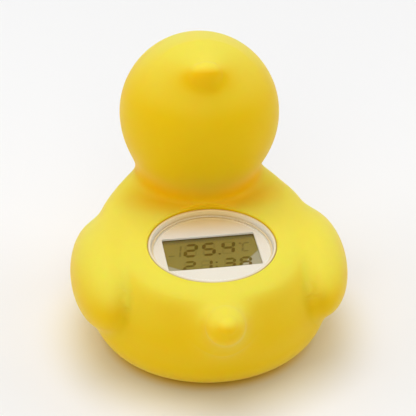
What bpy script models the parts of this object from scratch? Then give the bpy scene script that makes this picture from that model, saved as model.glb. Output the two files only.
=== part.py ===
"""A floating baby bath thermometer: a hollow soft vinyl duck with a sealed thermometer unit in its back.

The duck looks along +Y and stands on z = 0. The origin is the middle of its bounding box's footprint.
The sealed unit is a round white housing on a vertical axis behind the origin. A clear lens and a display
face up through the duck's back. A battery door, two setting keys and a steel sensor cap face down through
its base. Sizes are in metres, written as millimetres times MM.
"""

import math

import bmesh
import bpy
import numpy as np
from mathutils import Matrix, Vector

MM = 0.001

# Clearance between faces that touch on the real object
FIT = 0.3 * MM

# Points closer than this are one point
WELD = 0.002 * MM

# Duck, placed from the foot of the unit's axis, with radii along X, Y and Z
SKIN_WALL = 2.0 * MM
SKIN_CELL = 2.2 * MM
SKIN_FACETS = 2800
CAVITY_FACETS = 1000
BODY_CENTRE = (0.0, 7.5 * MM, 19.55 * MM)
BODY_RADII = (43.0 * MM, 38.6 * MM, 25.25 * MM)
BODY_SQUARENESS = 2.61
CHEST_CENTRE = (0.0, 25.2 * MM, 31.5 * MM)
CHEST_RADII = (39.1 * MM, 35.9 * MM, 26.0 * MM)
CHEST_BLEND = 12.5 * MM
BACK_RADIUS = 32.0 * MM
BACK_DEPTH = 16.0 * MM
BACK_SQUARENESS = 4.0
BACK_RISE = 2.6 * MM
BACK_BLEND = 8.0 * MM
LAND_BLEND = 4.0 * MM
WING_CENTRE = (37.2 * MM, 9.5 * MM, 27.4 * MM)
WING_RADII = (12.3 * MM, 29.3 * MM, 16.8 * MM)
WING_PITCH = math.radians(-7.3)
WING_BLEND = 4.0 * MM
NECK_Y = 43.5 * MM
NECK_LOW = 32.0 * MM
NECK_LOW_RADIUS = 17.8 * MM
NECK_HIGH_RADIUS = 19.9 * MM
NECK_FLATNESS = 0.86
NECK_BLEND_REAR = 5.0 * MM
NECK_BLEND_FRONT = 14.2 * MM
HEAD_CENTRE = (0.0, 40.7 * MM, 73.9 * MM)
HEAD_RADII = (28.5 * MM, 28.5 * MM, 29.0 * MM)
HEAD_BLEND = 10.0 * MM
TAIL_ROOT = (0.0, -30.0 * MM, 32.0 * MM)
TAIL_TIP = (0.0, -41.5 * MM, 40.5 * MM)
TAIL_ROOT_RADIUS = 8.5 * MM
TAIL_TIP_RADIUS = 4.6 * MM
TAIL_BLEND = 6.0 * MM
TUFT_ROOT = (0.0, 32.0 * MM, 97.5 * MM)
TUFT_TIP = (0.0, 23.0 * MM, 102.0 * MM)
TUFT_ROOT_RADIUS = 9.0 * MM
TUFT_TIP_RADIUS = 3.2 * MM
TUFT_BLEND = 5.0 * MM
BILL_CENTRE = (0.0, 65.5 * MM, 70.5 * MM)
BILL_RADII = (12.5 * MM, 13.0 * MM, 4.6 * MM)
LOWER_BILL_DROP = 5.6 * MM
LOWER_BILL_RADII = (10.0 * MM, 10.0 * MM, 3.8 * MM)
BILL_BLEND = 2.5 * MM
BASE_BLEND = 4.0 * MM
BASE_TRIM = 0.3 * MM

# Window and lens
WINDOW_Z = 44.0 * MM
WINDOW_RADIUS = 22.5 * MM
RIM_WIDTH = 1.0 * MM
LENS_THICKNESS = 1.5 * MM
LENS_CHAMFER = 0.3 * MM
LENS_SEAL_HEIGHT = 0.5 * MM
LENS_SEAL_WIDTH = 0.6 * MM
LENS_SEAL_MARGIN = 0.1 * MM
FACE_STEP = 0.5 * MM
FACE_THICKNESS = 0.8 * MM

# Housing halves
HOUSING_RADIUS = 24.3 * MM
HOUSING_WALL = 1.6 * MM
NOSE_RADIUS = 17.3 * MM
NOSE_Z = 1.0 * MM
SHOULDER_WIDTH = 2.2 * MM
CONE_HEIGHT = 5.2 * MM
FLOOR_FILLET = 1.5 * MM
CONE_THICKENING = 0.7 * MM
SPLIT_Z = 22.0 * MM
LIP_HEIGHT = 3.0 * MM
LIP_THICKNESS = 1.2 * MM
HOUSING_SEAL_RADIUS = 0.45 * MM
DECK_Z = 30.0 * MM
DECK_THICKNESS = 1.4 * MM
WIRE_HOLE_RADIUS = 3.5 * MM

# Screws that join the housing halves
HOUSING_SCREW_X = 13.3 * MM
HOUSING_SCREW_Y = 5.5 * MM
HOUSING_SCREW_SHANK = 0.9 * MM
HOUSING_SCREW_HEAD = 1.6 * MM
HOUSING_SCREW_HEAD_HEIGHT = 1.2 * MM
HOUSING_SCREW_LENGTH = 24.5 * MM
HOUSING_SCREW_SINK = 0.4 * MM
BOSS_WALL = 1.2 * MM

# Display
DISPLAY_Y = 1.4 * MM
DISPLAY_TURN = math.radians(2.3)
DISPLAY_WIDTH = 33.0 * MM
DISPLAY_HEIGHT = 21.0 * MM
GLASS_BORDER = 1.2 * MM
GLASS_THICKNESS = 1.8 * MM
STRIP_WIDTH = 1.8 * MM
STRIP_LENGTH = 30.0 * MM

# Circuit board and what is soldered to it
BOARD_Z = 34.0 * MM
BOARD_MARGIN = 1.7 * MM
BOARD_THICKNESS = 1.2 * MM
BOARD_SCREW_INSET = 3.7 * MM
BOARD_SCREW_SHANK = 0.7 * MM
BOARD_SCREW_HEAD = 1.3 * MM
BOARD_SCREW_HEAD_HEIGHT = 0.9 * MM
BOARD_SCREW_LENGTH = 3.2 * MM
BOARD_BOSS_RADIUS = 2.0 * MM
CHIP_CENTRE = (8.0 * MM, 6.0 * MM)
CHIP_RADIUS = 4.5 * MM
CHIP_HEIGHT = 1.3 * MM
CHIP_SLOPE = 0.4 * MM
CRYSTAL_CENTRE = (-9.0 * MM, 7.0 * MM)
CRYSTAL_RADIUS = 1.0 * MM
CRYSTAL_LENGTH = 6.0 * MM
CAPACITOR_CENTRES = ((-8.0 * MM, -4.0 * MM), (6.0 * MM, -5.0 * MM))
CAPACITOR_SIZE = (3.2 * MM, 1.6 * MM, 1.2 * MM)

# Button cell, its tub, contacts and door
DOOR_Y = 5.2 * MM
CELL_RADIUS = 5.8 * MM
CELL_THICKNESS = 5.4 * MM
CELL_CHAMFER = 0.4 * MM
CELL_WAIST = 0.8 * MM
CONTACT_THICKNESS = 0.3 * MM
CONTACT_WIDTH = 2.6 * MM
CONTACT_TAB_Z = 13.4 * MM
NEGATIVE_TAB_X = -3.0 * MM
TUB_WALL = 1.9 * MM
TUB_TOP = 1.4 * MM
DOOR_RADIUS = 10.6 * MM
DOOR_THICKNESS = 1.8 * MM
DOOR_SEAT_THICKNESS = 1.8 * MM
DOOR_SEAT_MARGIN = 1.3 * MM
DOOR_SEAL_RADIUS = 0.35 * MM
DOOR_SEAL_LIP = 0.4 * MM
DOOR_SCREW_COUNT = 3
DOOR_SCREW_CIRCLE = 8.9 * MM
DOOR_SCREW_SHANK = 0.6 * MM
DOOR_SCREW_HEAD = 1.0 * MM
DOOR_SCREW_HEAD_HEIGHT = 0.6 * MM
DOOR_SCREW_LENGTH = 4.0 * MM
DOOR_SCREW_SINK = 0.1 * MM

# Sensor cap and bead
SENSOR_Y = -11.6 * MM
SENSOR_RADIUS = 2.3 * MM
SENSOR_TIP_Z = 0.5 * MM
SENSOR_WALL = 0.4 * MM
SENSOR_CURVE = 0.8 * MM
SENSOR_FLANGE = 0.7 * MM
BEAD_RADIUS = 1.1 * MM
LEAD_RADIUS = 0.5 * MM
LEAD_SWAY = 1.0 * MM
BATTERY_LEAD_RADIUS = 0.45 * MM
BATTERY_LEAD_SPREAD = 1.8 * MM

# Setting keys and their small board
KEY_X = 6.3 * MM
KEY_INSET = 4.8 * MM
KEY_RADIUS = 2.3 * MM
KEY_SINK = 0.3 * MM
KEY_FLANGE = 0.6 * MM
KEY_FLANGE_HEIGHT = 0.6 * MM
KEY_NUB_RADIUS = 1.2 * MM
KEY_NUB_HEIGHT = 0.8 * MM
KEY_TRAVEL = 0.4 * MM
KEY_OVERTRAVEL = 0.2 * MM
SWITCH_SIZE = 5.0 * MM
SWITCH_HEIGHT = 3.0 * MM
SWITCH_STEM_HEIGHT = 0.4 * MM
KEY_BOARD_MARGIN = 1.4 * MM
KEY_BOARD_DEPTH = 5.8 * MM
KEY_BOARD_THICKNESS = 1.0 * MM
KEY_POST_STEP = 4.7 * MM
KEY_POST_RADIUS = 1.5 * MM
KEY_SCREW_SHANK = 0.6 * MM
KEY_SCREW_HEAD = 1.2 * MM
KEY_SCREW_HEAD_HEIGHT = 0.8 * MM
KEY_SCREW_LENGTH = 4.2 * MM

# Facets around turned pieces and cords, and rounds in which the skin settles
WIDE_SIDES = 40
ROUND_SIDES = 16
SMALL_SIDES = 8
CORD_SIDES = 6
SETTLE_ROUNDS = 8

# Places that follow from the sizes above
BILL_TIP_Y = BILL_CENTRE[1] + BILL_RADII[1]
TAIL_TIP_Y = TAIL_TIP[1] - TAIL_TIP_RADIUS
UNIT_Y = -(BILL_TIP_Y + TAIL_TIP_Y) / 2
LENS_RADIUS = WINDOW_RADIUS - RIM_WIDTH - FIT
LENS_Z = WINDOW_Z - LENS_THICKNESS
LEDGE_Z = LENS_Z - FIT - LENS_SEAL_HEIGHT - FIT
STEP_RADIUS = LENS_RADIUS - LENS_SEAL_WIDTH - LENS_SEAL_MARGIN
FACE_Z = LEDGE_Z - FACE_STEP
GLASS_TOP = FACE_Z - FACE_THICKNESS - FIT
GLASS_Z = GLASS_TOP - GLASS_THICKNESS
SKIN_LIP_Z = WINDOW_Z - SKIN_WALL
HOUSING_TOP = SKIN_LIP_Z - FIT
HOUSING_BORE = HOUSING_RADIUS - HOUSING_WALL
BOARD_RADIUS = HOUSING_BORE - BOARD_MARGIN
BOARD_SCREW_X = BOARD_RADIUS - BOARD_SCREW_INSET
SHOULDER_Z = SKIN_WALL + FIT
CONE_TOP_Z = SHOULDER_Z + CONE_HEIGHT
FLOOR_Z = NOSE_Z + HOUSING_WALL
UPPER_Z = SPLIT_Z + 2 * HOUSING_SEAL_RADIUS + 2 * FIT
DECK_TOP = DECK_Z + DECK_THICKNESS
BOARD_TOP = BOARD_Z + BOARD_THICKNESS
BOARD_UNDER = BOARD_Z - FIT
DOOR_TOP = NOSE_Z + DOOR_THICKNESS
SEAT_Z = DOOR_TOP + FIT
POSITIVE_Z = SEAT_Z + FIT
CELL_Z = POSITIVE_Z + CONTACT_THICKNESS + FIT
NEGATIVE_Z = CELL_Z + CELL_THICKNESS + FIT
TUB_CEILING = NEGATIVE_Z + CONTACT_THICKNESS + FIT
TUB_RADIUS = CELL_RADIUS + FIT
SEAL_GROOVE_INNER = TUB_RADIUS + DOOR_SEAL_LIP
DOOR_SEAL_CIRCLE = SEAL_GROOVE_INNER + FIT + DOOR_SEAL_RADIUS
SEAL_GROOVE_OUTER = DOOR_SEAL_CIRCLE + DOOR_SEAL_RADIUS + FIT
SEAL_GROOVE_TOP = SEAT_Z + 2 * DOOR_SEAL_RADIUS + FIT
KEY_Y = -math.sqrt((NOSE_RADIUS - KEY_INSET) ** 2 - KEY_X**2)
KEY_BOARD_Y = (KEY_Y + SENSOR_Y) / 2
KEY_POST_X = KEY_X + KEY_POST_STEP
KEY_BOARD_LENGTH = 2 * (KEY_POST_X + KEY_BOARD_MARGIN)
KEY_Z = NOSE_Z + KEY_SINK
KEY_FLANGE_Z = FLOOR_Z + FIT
KEY_NUB_Z = KEY_FLANGE_Z + KEY_FLANGE_HEIGHT
SWITCH_STEM_Z = KEY_NUB_Z + KEY_NUB_HEIGHT + KEY_TRAVEL + KEY_OVERTRAVEL
SWITCH_Z = SWITCH_STEM_Z + SWITCH_STEM_HEIGHT
KEY_BOARD_Z = SWITCH_Z + SWITCH_HEIGHT + FIT
KEY_BOARD_TOP = KEY_BOARD_Z + KEY_BOARD_THICKNESS


def material(name, colour, roughness, metallic=0.0, alpha=1.0):
    """A Principled material of one colour."""
    found = bpy.data.materials.new(name)
    found.use_nodes = True
    shader = found.node_tree.nodes["Principled BSDF"]
    shader.inputs["Base Color"].default_value = (*colour, 1.0)
    shader.inputs["Roughness"].default_value = roughness
    shader.inputs["Metallic"].default_value = metallic
    shader.inputs["Alpha"].default_value = alpha
    return found


def add_object(name, mesh, finish, collection):
    """Puts a mesh in the scene as an object whose origin is the foot of the unit's axis."""
    obj = bpy.data.objects.new(name, mesh)
    if finish is not None:
        mesh.materials.clear()
        mesh.materials.append(finish)
    collection.objects.link(obj)
    obj.parent = unit
    return obj


def settle_modifiers(obj):
    """Replaces an object's mesh with what its modifiers make of it."""
    bpy.context.view_layer.update()
    evaluated = obj.evaluated_get(bpy.context.evaluated_depsgraph_get())
    mesh = bpy.data.meshes.new_from_object(evaluated)
    obj.modifiers.clear()
    obj.data = mesh
    return obj


def turned(name, profile, finish=None, sides=ROUND_SIDES, centre=(0.0, 0.0)):
    """A turned piece: the profile, in radius and height, runs from the top down its outer side.

    A profile that starts and ends on the axis makes a solid. Any other is closed into a ring.
    """
    solid = profile[0][0] == 0.0 and profile[-1][0] == 0.0
    count = len(profile)
    edges = [(i, i + 1) for i in range(count - 1)]
    if not solid:
        edges.append((count - 1, 0))
    mesh = bpy.data.meshes.new(name)
    mesh.from_pydata([(radius, 0.0, height) for radius, height in profile], edges, [])
    obj = add_object(name, mesh, finish, parts if finish else tools)
    obj.location = (centre[0], centre[1], 0.0)
    screw = obj.modifiers.new("turn", "SCREW")
    screw.axis = "Z"
    screw.angle = 2 * math.pi
    screw.steps = sides
    screw.render_steps = sides
    screw.use_merge_vertices = True
    screw.merge_threshold = 0.00001
    settle_modifiers(obj)
    if finish:
        obj.data.materials.clear()
        obj.data.materials.append(finish)
    return obj


def disc_profile(radius, low, high):
    """Profile of a plain cylinder."""
    return [(0.0, high), (radius, high), (radius, low), (0.0, low)]


def ring_profile(inner, outer, low, high):
    """Profile of a plain tube."""
    return [(inner, high), (outer, high), (outer, low), (inner, low)]


def cord_ring_profile(circle, radius, height):
    """Profile of an O-ring: a round section at one radius and height, listed clockwise."""
    turns = [math.pi / 2 - 2 * math.pi * i / CORD_SIDES for i in range(CORD_SIDES)]
    return [(circle + radius * math.cos(turn), height + radius * math.sin(turn)) for turn in turns]


def box(name, size, centre, finish=None):
    """A plain block of the given size about its centre."""
    mesh = bpy.data.meshes.new(name)
    shape = bmesh.new()
    bmesh.ops.create_cube(shape, size=1.0, matrix=Matrix.Diagonal((*size, 1.0)))
    shape.to_mesh(mesh)
    shape.free()
    obj = add_object(name, mesh, finish, parts if finish else tools)
    obj.location = centre
    return obj


def boolean(obj, tool, operation):
    """Cuts or joins one mesh with another, welds the seam's doubled points and discards the tool."""
    modifier = obj.modifiers.new(operation.lower(), "BOOLEAN")
    modifier.operation = operation
    modifier.solver = "EXACT"
    modifier.object = tool
    settle_modifiers(obj)
    shape = bmesh.new()
    shape.from_mesh(obj.data)
    bmesh.ops.remove_doubles(shape, verts=shape.verts, dist=WELD)
    bmesh.ops.dissolve_degenerate(shape, edges=shape.edges, dist=WELD)
    shape.to_mesh(obj.data)
    shape.free()
    bpy.data.objects.remove(tool)
    return obj


def cut(obj, tool):
    """Takes the tool's shape out of the piece."""
    return boolean(obj, tool, "DIFFERENCE")


def join(obj, tool):
    """Makes the tool's shape part of the piece."""
    return boolean(obj, tool, "UNION")


def smooth_route(points, per_stretch=3):
    """Points along a Catmull-Rom curve through the route's own points."""
    ends = [2 * points[0] - points[1], *points, 2 * points[-1] - points[-2]]
    route = []
    for a, b, c, d in zip(ends, ends[1:], ends[2:], ends[3:]):
        for step in range(per_stretch):
            t = step / per_stretch
            bend = 2 * a - 5 * b + 4 * c - d
            twist = 3 * b - a - 3 * c + d
            route.append(0.5 * (2 * b + (c - a) * t + bend * t**2 + twist * t**3))
    return [*route, points[-1]]


def wire(name, points, radius, finish):
    """A round wire along a smooth route through the given points."""
    route = smooth_route([Vector(point) for point in points])
    curve = bpy.data.curves.new(name, "CURVE")
    curve.dimensions = "3D"
    curve.bevel_depth = radius
    curve.bevel_resolution = 2
    curve.use_fill_caps = True
    spline = curve.splines.new("POLY")
    spline.points.add(len(route) - 1)
    for place, point in zip(spline.points, route):
        place.co = (*point, 1.0)
    curve.materials.append(finish)
    obj = bpy.data.objects.new(name, curve)
    parts.objects.link(obj)
    obj.parent = unit
    return obj


def screw_piece(name, centre, seat, direction, sizes, finish):
    """A pan-head screw whose head rests at the height seat, with its shank up or down along direction."""
    head_radius, head_height, shank_radius, length = sizes
    flare = 0.75
    profile = [
        (0.0, head_height),
        (flare * head_radius, head_height),
        (head_radius, 0.6 * head_height),
        (head_radius, 0.0),
        (shank_radius, 0.0),
        (shank_radius, -length + shank_radius),
        (0.3 * shank_radius, -length),
        (0.0, -length),
    ]
    if direction > 0:
        profile = [(radius, -height) for radius, height in reversed(profile)]
    profile = [(radius, height + seat) for radius, height in profile]
    return turned(name, profile, finish, SMALL_SIDES, centre)


# The duck's form, as a distance from its surface that is negative inside


def soft_least(first, second, blend):
    """The lesser of two distances, with a rounded valley where they are within the blend of each other."""
    near = np.maximum(blend - np.abs(first - second), 0.0) / blend
    return np.minimum(first, second) - near * near * blend / 4


def soft_most(first, second, blend):
    """The greater of two distances, with a rounded edge."""
    return -soft_least(-first, -second, blend)


def ellipsoid(points, centre, radii, pitch=0.0):
    """Distance to an ellipsoid that may be pitched about X."""
    offset = points - np.array(centre)
    if pitch:
        turn = np.array(Matrix.Rotation(pitch, 3, "X"))
        offset = offset @ turn
    size = np.array(radii)
    scaled = np.linalg.norm(offset / size, axis=-1)
    slope = np.linalg.norm(offset / size**2, axis=-1) + 1e-9
    return scaled * (scaled - 1.0) / slope


def squared_ellipsoid(points, centre, radii, squareness):
    """Distance to an ellipsoid whose upright section fills its corners as squareness grows past 2."""
    offset = points - np.array(centre)
    flat = np.hypot(offset[..., 0] / radii[0], offset[..., 1] / radii[1])
    tall = np.abs(offset[..., 2] / radii[2])
    scaled = (flat**squareness + tall**squareness) ** (1.0 / squareness) + 1e-9
    return np.linalg.norm(offset, axis=-1) * (scaled - 1.0) / scaled


def tapered_rod(points, start, end, start_radius, end_radius):
    """Distance to a rod with round ends whose radius changes evenly from start to end."""
    start = np.array(start)
    along = np.array(end) - start
    share = np.clip((points - start) @ along / (along @ along), 0.0, 1.0)
    return np.linalg.norm(points - start - share[..., None] * along, axis=-1) - (
        start_radius + (end_radius - start_radius) * share
    )


def ease(value):
    """Smooth step from 0 to 1."""
    share = np.clip(value, 0.0, 1.0)
    return share * share * (3.0 - 2.0 * share)


def duck_distance(points):
    """Distance to the duck's outer surface, with all its forms blended into one.

    Its base reaches BASE_TRIM below the plane that the duck stands on.
    """
    half = points.copy()
    half[..., 0] = np.abs(half[..., 0])
    body = squared_ellipsoid(half, BODY_CENTRE, BODY_RADII, BODY_SQUARENESS)
    chest = ellipsoid(half, CHEST_CENTRE, CHEST_RADII)
    found = soft_least(body, chest, CHEST_BLEND)
    back_centre = (0.0, 0.0, WINDOW_Z + BACK_RISE - BACK_DEPTH)
    back = squared_ellipsoid(half, back_centre, (BACK_RADIUS, BACK_RADIUS, BACK_DEPTH), BACK_SQUARENESS)
    found = soft_least(found, back, BACK_BLEND)
    found = soft_most(found, half[..., 2] - WINDOW_Z - LAND_BLEND / 4, LAND_BLEND)
    found = soft_least(found, ellipsoid(half, WING_CENTRE, WING_RADII, WING_PITCH), WING_BLEND)
    flattened = half.copy()
    flattened[..., 1] = (half[..., 1] - NECK_Y) / NECK_FLATNESS + NECK_Y
    neck_top = (0.0, NECK_Y, HEAD_CENTRE[2])
    neck = tapered_rod(flattened, (0.0, NECK_Y, NECK_LOW), neck_top, NECK_LOW_RADIUS, NECK_HIGH_RADIUS)
    forward = ease((half[..., 1] - WINDOW_RADIUS) / WINDOW_RADIUS)
    neck_blend = NECK_BLEND_REAR + (NECK_BLEND_FRONT - NECK_BLEND_REAR) * forward
    found = soft_least(found, NECK_FLATNESS * neck, neck_blend)
    found = soft_least(found, ellipsoid(half, HEAD_CENTRE, HEAD_RADII), HEAD_BLEND)
    tail = tapered_rod(half, TAIL_ROOT, TAIL_TIP, TAIL_ROOT_RADIUS, TAIL_TIP_RADIUS)
    found = soft_least(found, tail, TAIL_BLEND)
    tuft = tapered_rod(half, TUFT_ROOT, TUFT_TIP, TUFT_ROOT_RADIUS, TUFT_TIP_RADIUS)
    found = soft_least(found, tuft, TUFT_BLEND)
    found = soft_least(found, ellipsoid(half, BILL_CENTRE, BILL_RADII), BILL_BLEND)
    lower_y = BILL_CENTRE[1] - BILL_RADII[1] + LOWER_BILL_RADII[1]
    lower_bill = (0.0, lower_y, BILL_CENTRE[2] - LOWER_BILL_DROP)
    found = soft_least(found, ellipsoid(half, lower_bill, LOWER_BILL_RADII), BILL_BLEND)
    return soft_most(found, -half[..., 2] - BASE_TRIM, BASE_BLEND)


def settle_on_form(mesh, depth, rounds):
    """Moves a mesh's vertices onto the surface that lies depth inside the duck's form.

    Before each round the vertices slide toward their neighbours along the surface, which evens them out.
    """
    places = np.empty(len(mesh.vertices) * 3)
    mesh.vertices.foreach_get("co", places)
    places = places.reshape(-1, 3)
    pairs = np.empty(len(mesh.edges) * 2, dtype=np.int64)
    mesh.edges.foreach_get("vertices", pairs)
    pairs = pairs.reshape(-1, 2)
    ends = np.concatenate([pairs, pairs[:, ::-1]])
    neighbours = np.bincount(ends[:, 0], minlength=len(places))[:, None]
    probe = 0.05 * MM
    stride = 1.5 * MM
    slope = np.zeros_like(places)
    for turn in range(rounds):
        if turn:
            total = np.zeros_like(places)
            np.add.at(total, ends[:, 0], places[ends[:, 1]])
            pull = total / neighbours - places
            normal = slope / np.linalg.norm(slope, axis=-1, keepdims=True)
            places += 0.4 * (pull - (pull * normal).sum(axis=-1, keepdims=True) * normal)
        for _ in range(3):
            miss = duck_distance(places) + depth
            steps = np.eye(3) * probe
            rises = [duck_distance(places + step) - duck_distance(places - step) for step in steps]
            slope = np.stack(rises, axis=-1) / (2 * probe)
            steep = np.maximum((slope * slope).sum(axis=-1), 0.2)
            places -= np.clip(miss / steep, -stride, stride)[:, None] * slope
    mesh.vertices.foreach_set("co", places.ravel())
    mesh.update()


def add_balls(shape, balls, inset):
    """Adds ellipsoids, given by centre, radii and pitch, to a mesh that is being built."""
    for centre, radii, pitch in balls:
        size = Matrix.Diagonal((*(radius - inset for radius in radii), 1.0))
        matrix = Matrix.Translation(centre) @ Matrix.Rotation(pitch, 4, "X") @ size
        bmesh.ops.create_uvsphere(shape, u_segments=32, v_segments=16, radius=1.0, matrix=matrix)


def duck_form(name, inset, facets, finish=None):
    """One closed surface that lies inset inside the duck's form, with about the given number of facets.

    Overlapping balls and a rod of the duck's own sizes, the trunk's flattened at the back and the base, are
    remeshed into one skin, which settles on the form. It is then thinned out to the facets that its curves
    need, settles once more and has its base trimmed flat.
    """
    shape = bmesh.new()
    trunk = [
        (BODY_CENTRE, BODY_RADII, 0.0),
        (CHEST_CENTRE, CHEST_RADII, 0.0),
        ((0.0, 0.0, WINDOW_Z - BACK_DEPTH), (BACK_RADIUS, BACK_RADIUS, BACK_DEPTH), 0.0),
    ]
    balls = [
        (WING_CENTRE, WING_RADII, WING_PITCH),
        ((-WING_CENTRE[0], *WING_CENTRE[1:]), WING_RADII, WING_PITCH),
        (HEAD_CENTRE, HEAD_RADII, 0.0),
        (TAIL_ROOT, (TAIL_ROOT_RADIUS,) * 3, 0.0),
    ]
    if inset == 0.0:
        balls.append((TAIL_TIP, (TAIL_TIP_RADIUS,) * 3, 0.0))
        balls.append((TUFT_TIP, (TUFT_TIP_RADIUS,) * 3, 0.0))
        balls.append((TUFT_ROOT, (TUFT_ROOT_RADIUS,) * 3, 0.0))
        balls.append((BILL_CENTRE, BILL_RADII, 0.0))
    add_balls(shape, trunk, inset)
    for vertex in shape.verts:
        vertex.co.z = min(max(vertex.co.z, inset), WINDOW_Z - inset)
    add_balls(shape, balls, inset)
    middle = (Vector((0.0, NECK_Y, NECK_LOW)) + Vector((0.0, NECK_Y, HEAD_CENTRE[2]))) / 2
    bmesh.ops.create_cone(
        shape,
        cap_ends=True,
        segments=32,
        radius1=NECK_LOW_RADIUS - inset,
        radius2=NECK_HIGH_RADIUS - inset,
        depth=HEAD_CENTRE[2] - NECK_LOW,
        matrix=Matrix.Translation(middle) @ Matrix.Diagonal((1.0, NECK_FLATNESS, 1.0, 1.0)),
    )
    mesh = bpy.data.meshes.new(name)
    shape.to_mesh(mesh)
    shape.free()
    obj = add_object(name, mesh, None, parts if finish else tools)
    remesh = obj.modifiers.new("one skin", "REMESH")
    remesh.mode = "VOXEL"
    remesh.voxel_size = SKIN_CELL
    settle_modifiers(obj)
    settle_on_form(obj.data, inset, SETTLE_ROUNDS)
    thin = obj.modifiers.new("thin out", "DECIMATE")
    thin.ratio = facets / (2 * len(obj.data.polygons))
    settle_modifiers(obj)
    settle_on_form(obj.data, inset, 1)
    for vertex in obj.data.vertices:
        vertex.co.z = max(vertex.co.z, inset)
    if finish:
        obj.data.materials.append(finish)
    return obj


def duck_skin():
    """The soft shell: hollow inside, with a window in its back and a round opening in its base."""
    skin = duck_form("duck_skin", 0.0, SKIN_FACETS, vinyl)
    cut(skin, duck_form("skin_cavity", SKIN_WALL, CAVITY_FACETS))
    bay = HOUSING_RADIUS + 2 * FIT
    window = WINDOW_RADIUS + FIT
    over = 4 * MM
    profile = [
        (0.0, WINDOW_Z + over),
        (window, WINDOW_Z + over),
        (window, SKIN_LIP_Z),
        (bay, SKIN_LIP_Z),
        (bay, CONE_TOP_Z - FIT),
        (NOSE_RADIUS + SHOULDER_WIDTH + 2 * FIT, SKIN_WALL),
        (NOSE_RADIUS + FIT, SKIN_WALL),
        (NOSE_RADIUS + FIT, -over),
        (0.0, -over),
    ]
    cut(skin, turned("module_bay", profile, None, WIDE_SIDES))
    return skin


def window_lens():
    """Flat clear lens with a small chamfer at its upper edge."""
    profile = [
        (0.0, WINDOW_Z),
        (LENS_RADIUS - LENS_CHAMFER, WINDOW_Z),
        (LENS_RADIUS, WINDOW_Z - LENS_CHAMFER),
        (LENS_RADIUS, LENS_Z),
        (0.0, LENS_Z),
    ]
    return turned("window_lens", profile, clear, WIDE_SIDES)


def lens_seal():
    """Flat ring between the lens and the housing's ledge."""
    top = LENS_Z - FIT
    profile = ring_profile(LENS_RADIUS - LENS_SEAL_WIDTH, LENS_RADIUS, top - LENS_SEAL_HEIGHT, top)
    return turned("lens_seal", profile, seal_rubber, WIDE_SIDES)


def housing_screw_centres():
    """The four screw axes, front right first and then around."""
    return [
        (HOUSING_SCREW_X, HOUSING_SCREW_Y),
        (-HOUSING_SCREW_X, HOUSING_SCREW_Y),
        (-HOUSING_SCREW_X, -HOUSING_SCREW_Y),
        (HOUSING_SCREW_X, -HOUSING_SCREW_Y),
    ]


def turn_display(obj):
    """Turns a piece of the display, or its window, about the unit's axis."""
    obj.location = Matrix.Rotation(DISPLAY_TURN, 3, "Z") @ obj.location
    obj.rotation_euler = (0.0, 0.0, DISPLAY_TURN)
    return obj


def upper_housing():
    """Rim, stepped recess and face plate above, and a deck with screw bosses inside."""
    rim_bore = LENS_RADIUS + FIT
    profile = [
        (0.0, FACE_Z),
        (STEP_RADIUS, FACE_Z),
        (STEP_RADIUS, LEDGE_Z),
        (rim_bore, LEDGE_Z),
        (rim_bore, WINDOW_Z),
        (WINDOW_RADIUS, WINDOW_Z),
        (WINDOW_RADIUS, HOUSING_TOP),
        (HOUSING_RADIUS, HOUSING_TOP),
        (HOUSING_RADIUS, UPPER_Z),
        (HOUSING_BORE, UPPER_Z),
        (HOUSING_BORE, FACE_Z - FACE_THICKNESS),
        (0.0, FACE_Z - FACE_THICKNESS),
    ]
    housing = turned("upper_housing", profile, white_plastic, WIDE_SIDES)
    bite = HOUSING_WALL / 2
    join(housing, turned("deck", disc_profile(HOUSING_BORE + bite, DECK_Z, DECK_TOP), None, WIDE_SIDES))
    hole = HOUSING_SCREW_SHANK + FIT
    low = SPLIT_Z + FIT / 2
    for centre in housing_screw_centres():
        boss = disc_profile(hole + BOSS_WALL, low, DECK_Z + bite / 2)
        join(housing, turned("boss", boss, None, ROUND_SIDES, centre))
    for side in (-1, 1):
        boss = disc_profile(BOARD_BOSS_RADIUS, DECK_TOP - bite / 2, BOARD_UNDER)
        join(housing, turned("boss", boss, None, ROUND_SIDES, (side * BOARD_SCREW_X, 0.0)))
    window = (DISPLAY_WIDTH, DISPLAY_HEIGHT, 4 * FACE_THICKNESS)
    opening = box("display_window", window, (0.0, DISPLAY_Y, FACE_Z - FACE_THICKNESS / 2))
    cut(housing, turn_display(opening))
    tip = NOSE_Z + HOUSING_SCREW_SINK + HOUSING_SCREW_HEAD_HEIGHT + HOUSING_SCREW_LENGTH
    for centre in housing_screw_centres():
        cut(housing, turned("pilot", disc_profile(hole, low - bite, tip + FIT), None, SMALL_SIDES, centre))
    for side in (-1, 1):
        centre = (side * BOARD_SCREW_X, 0.0)
        depth = disc_profile(BOARD_SCREW_SHANK + FIT, DECK_TOP, BOARD_UNDER + bite)
        cut(housing, turned("pilot", depth, None, SMALL_SIDES, centre))
    wires = disc_profile(WIRE_HOLE_RADIUS, DECK_Z - bite, DECK_TOP + bite)
    return cut(housing, turned("wire_hole", wires, None, SMALL_SIDES, (0.0, SENSOR_Y)))


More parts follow.
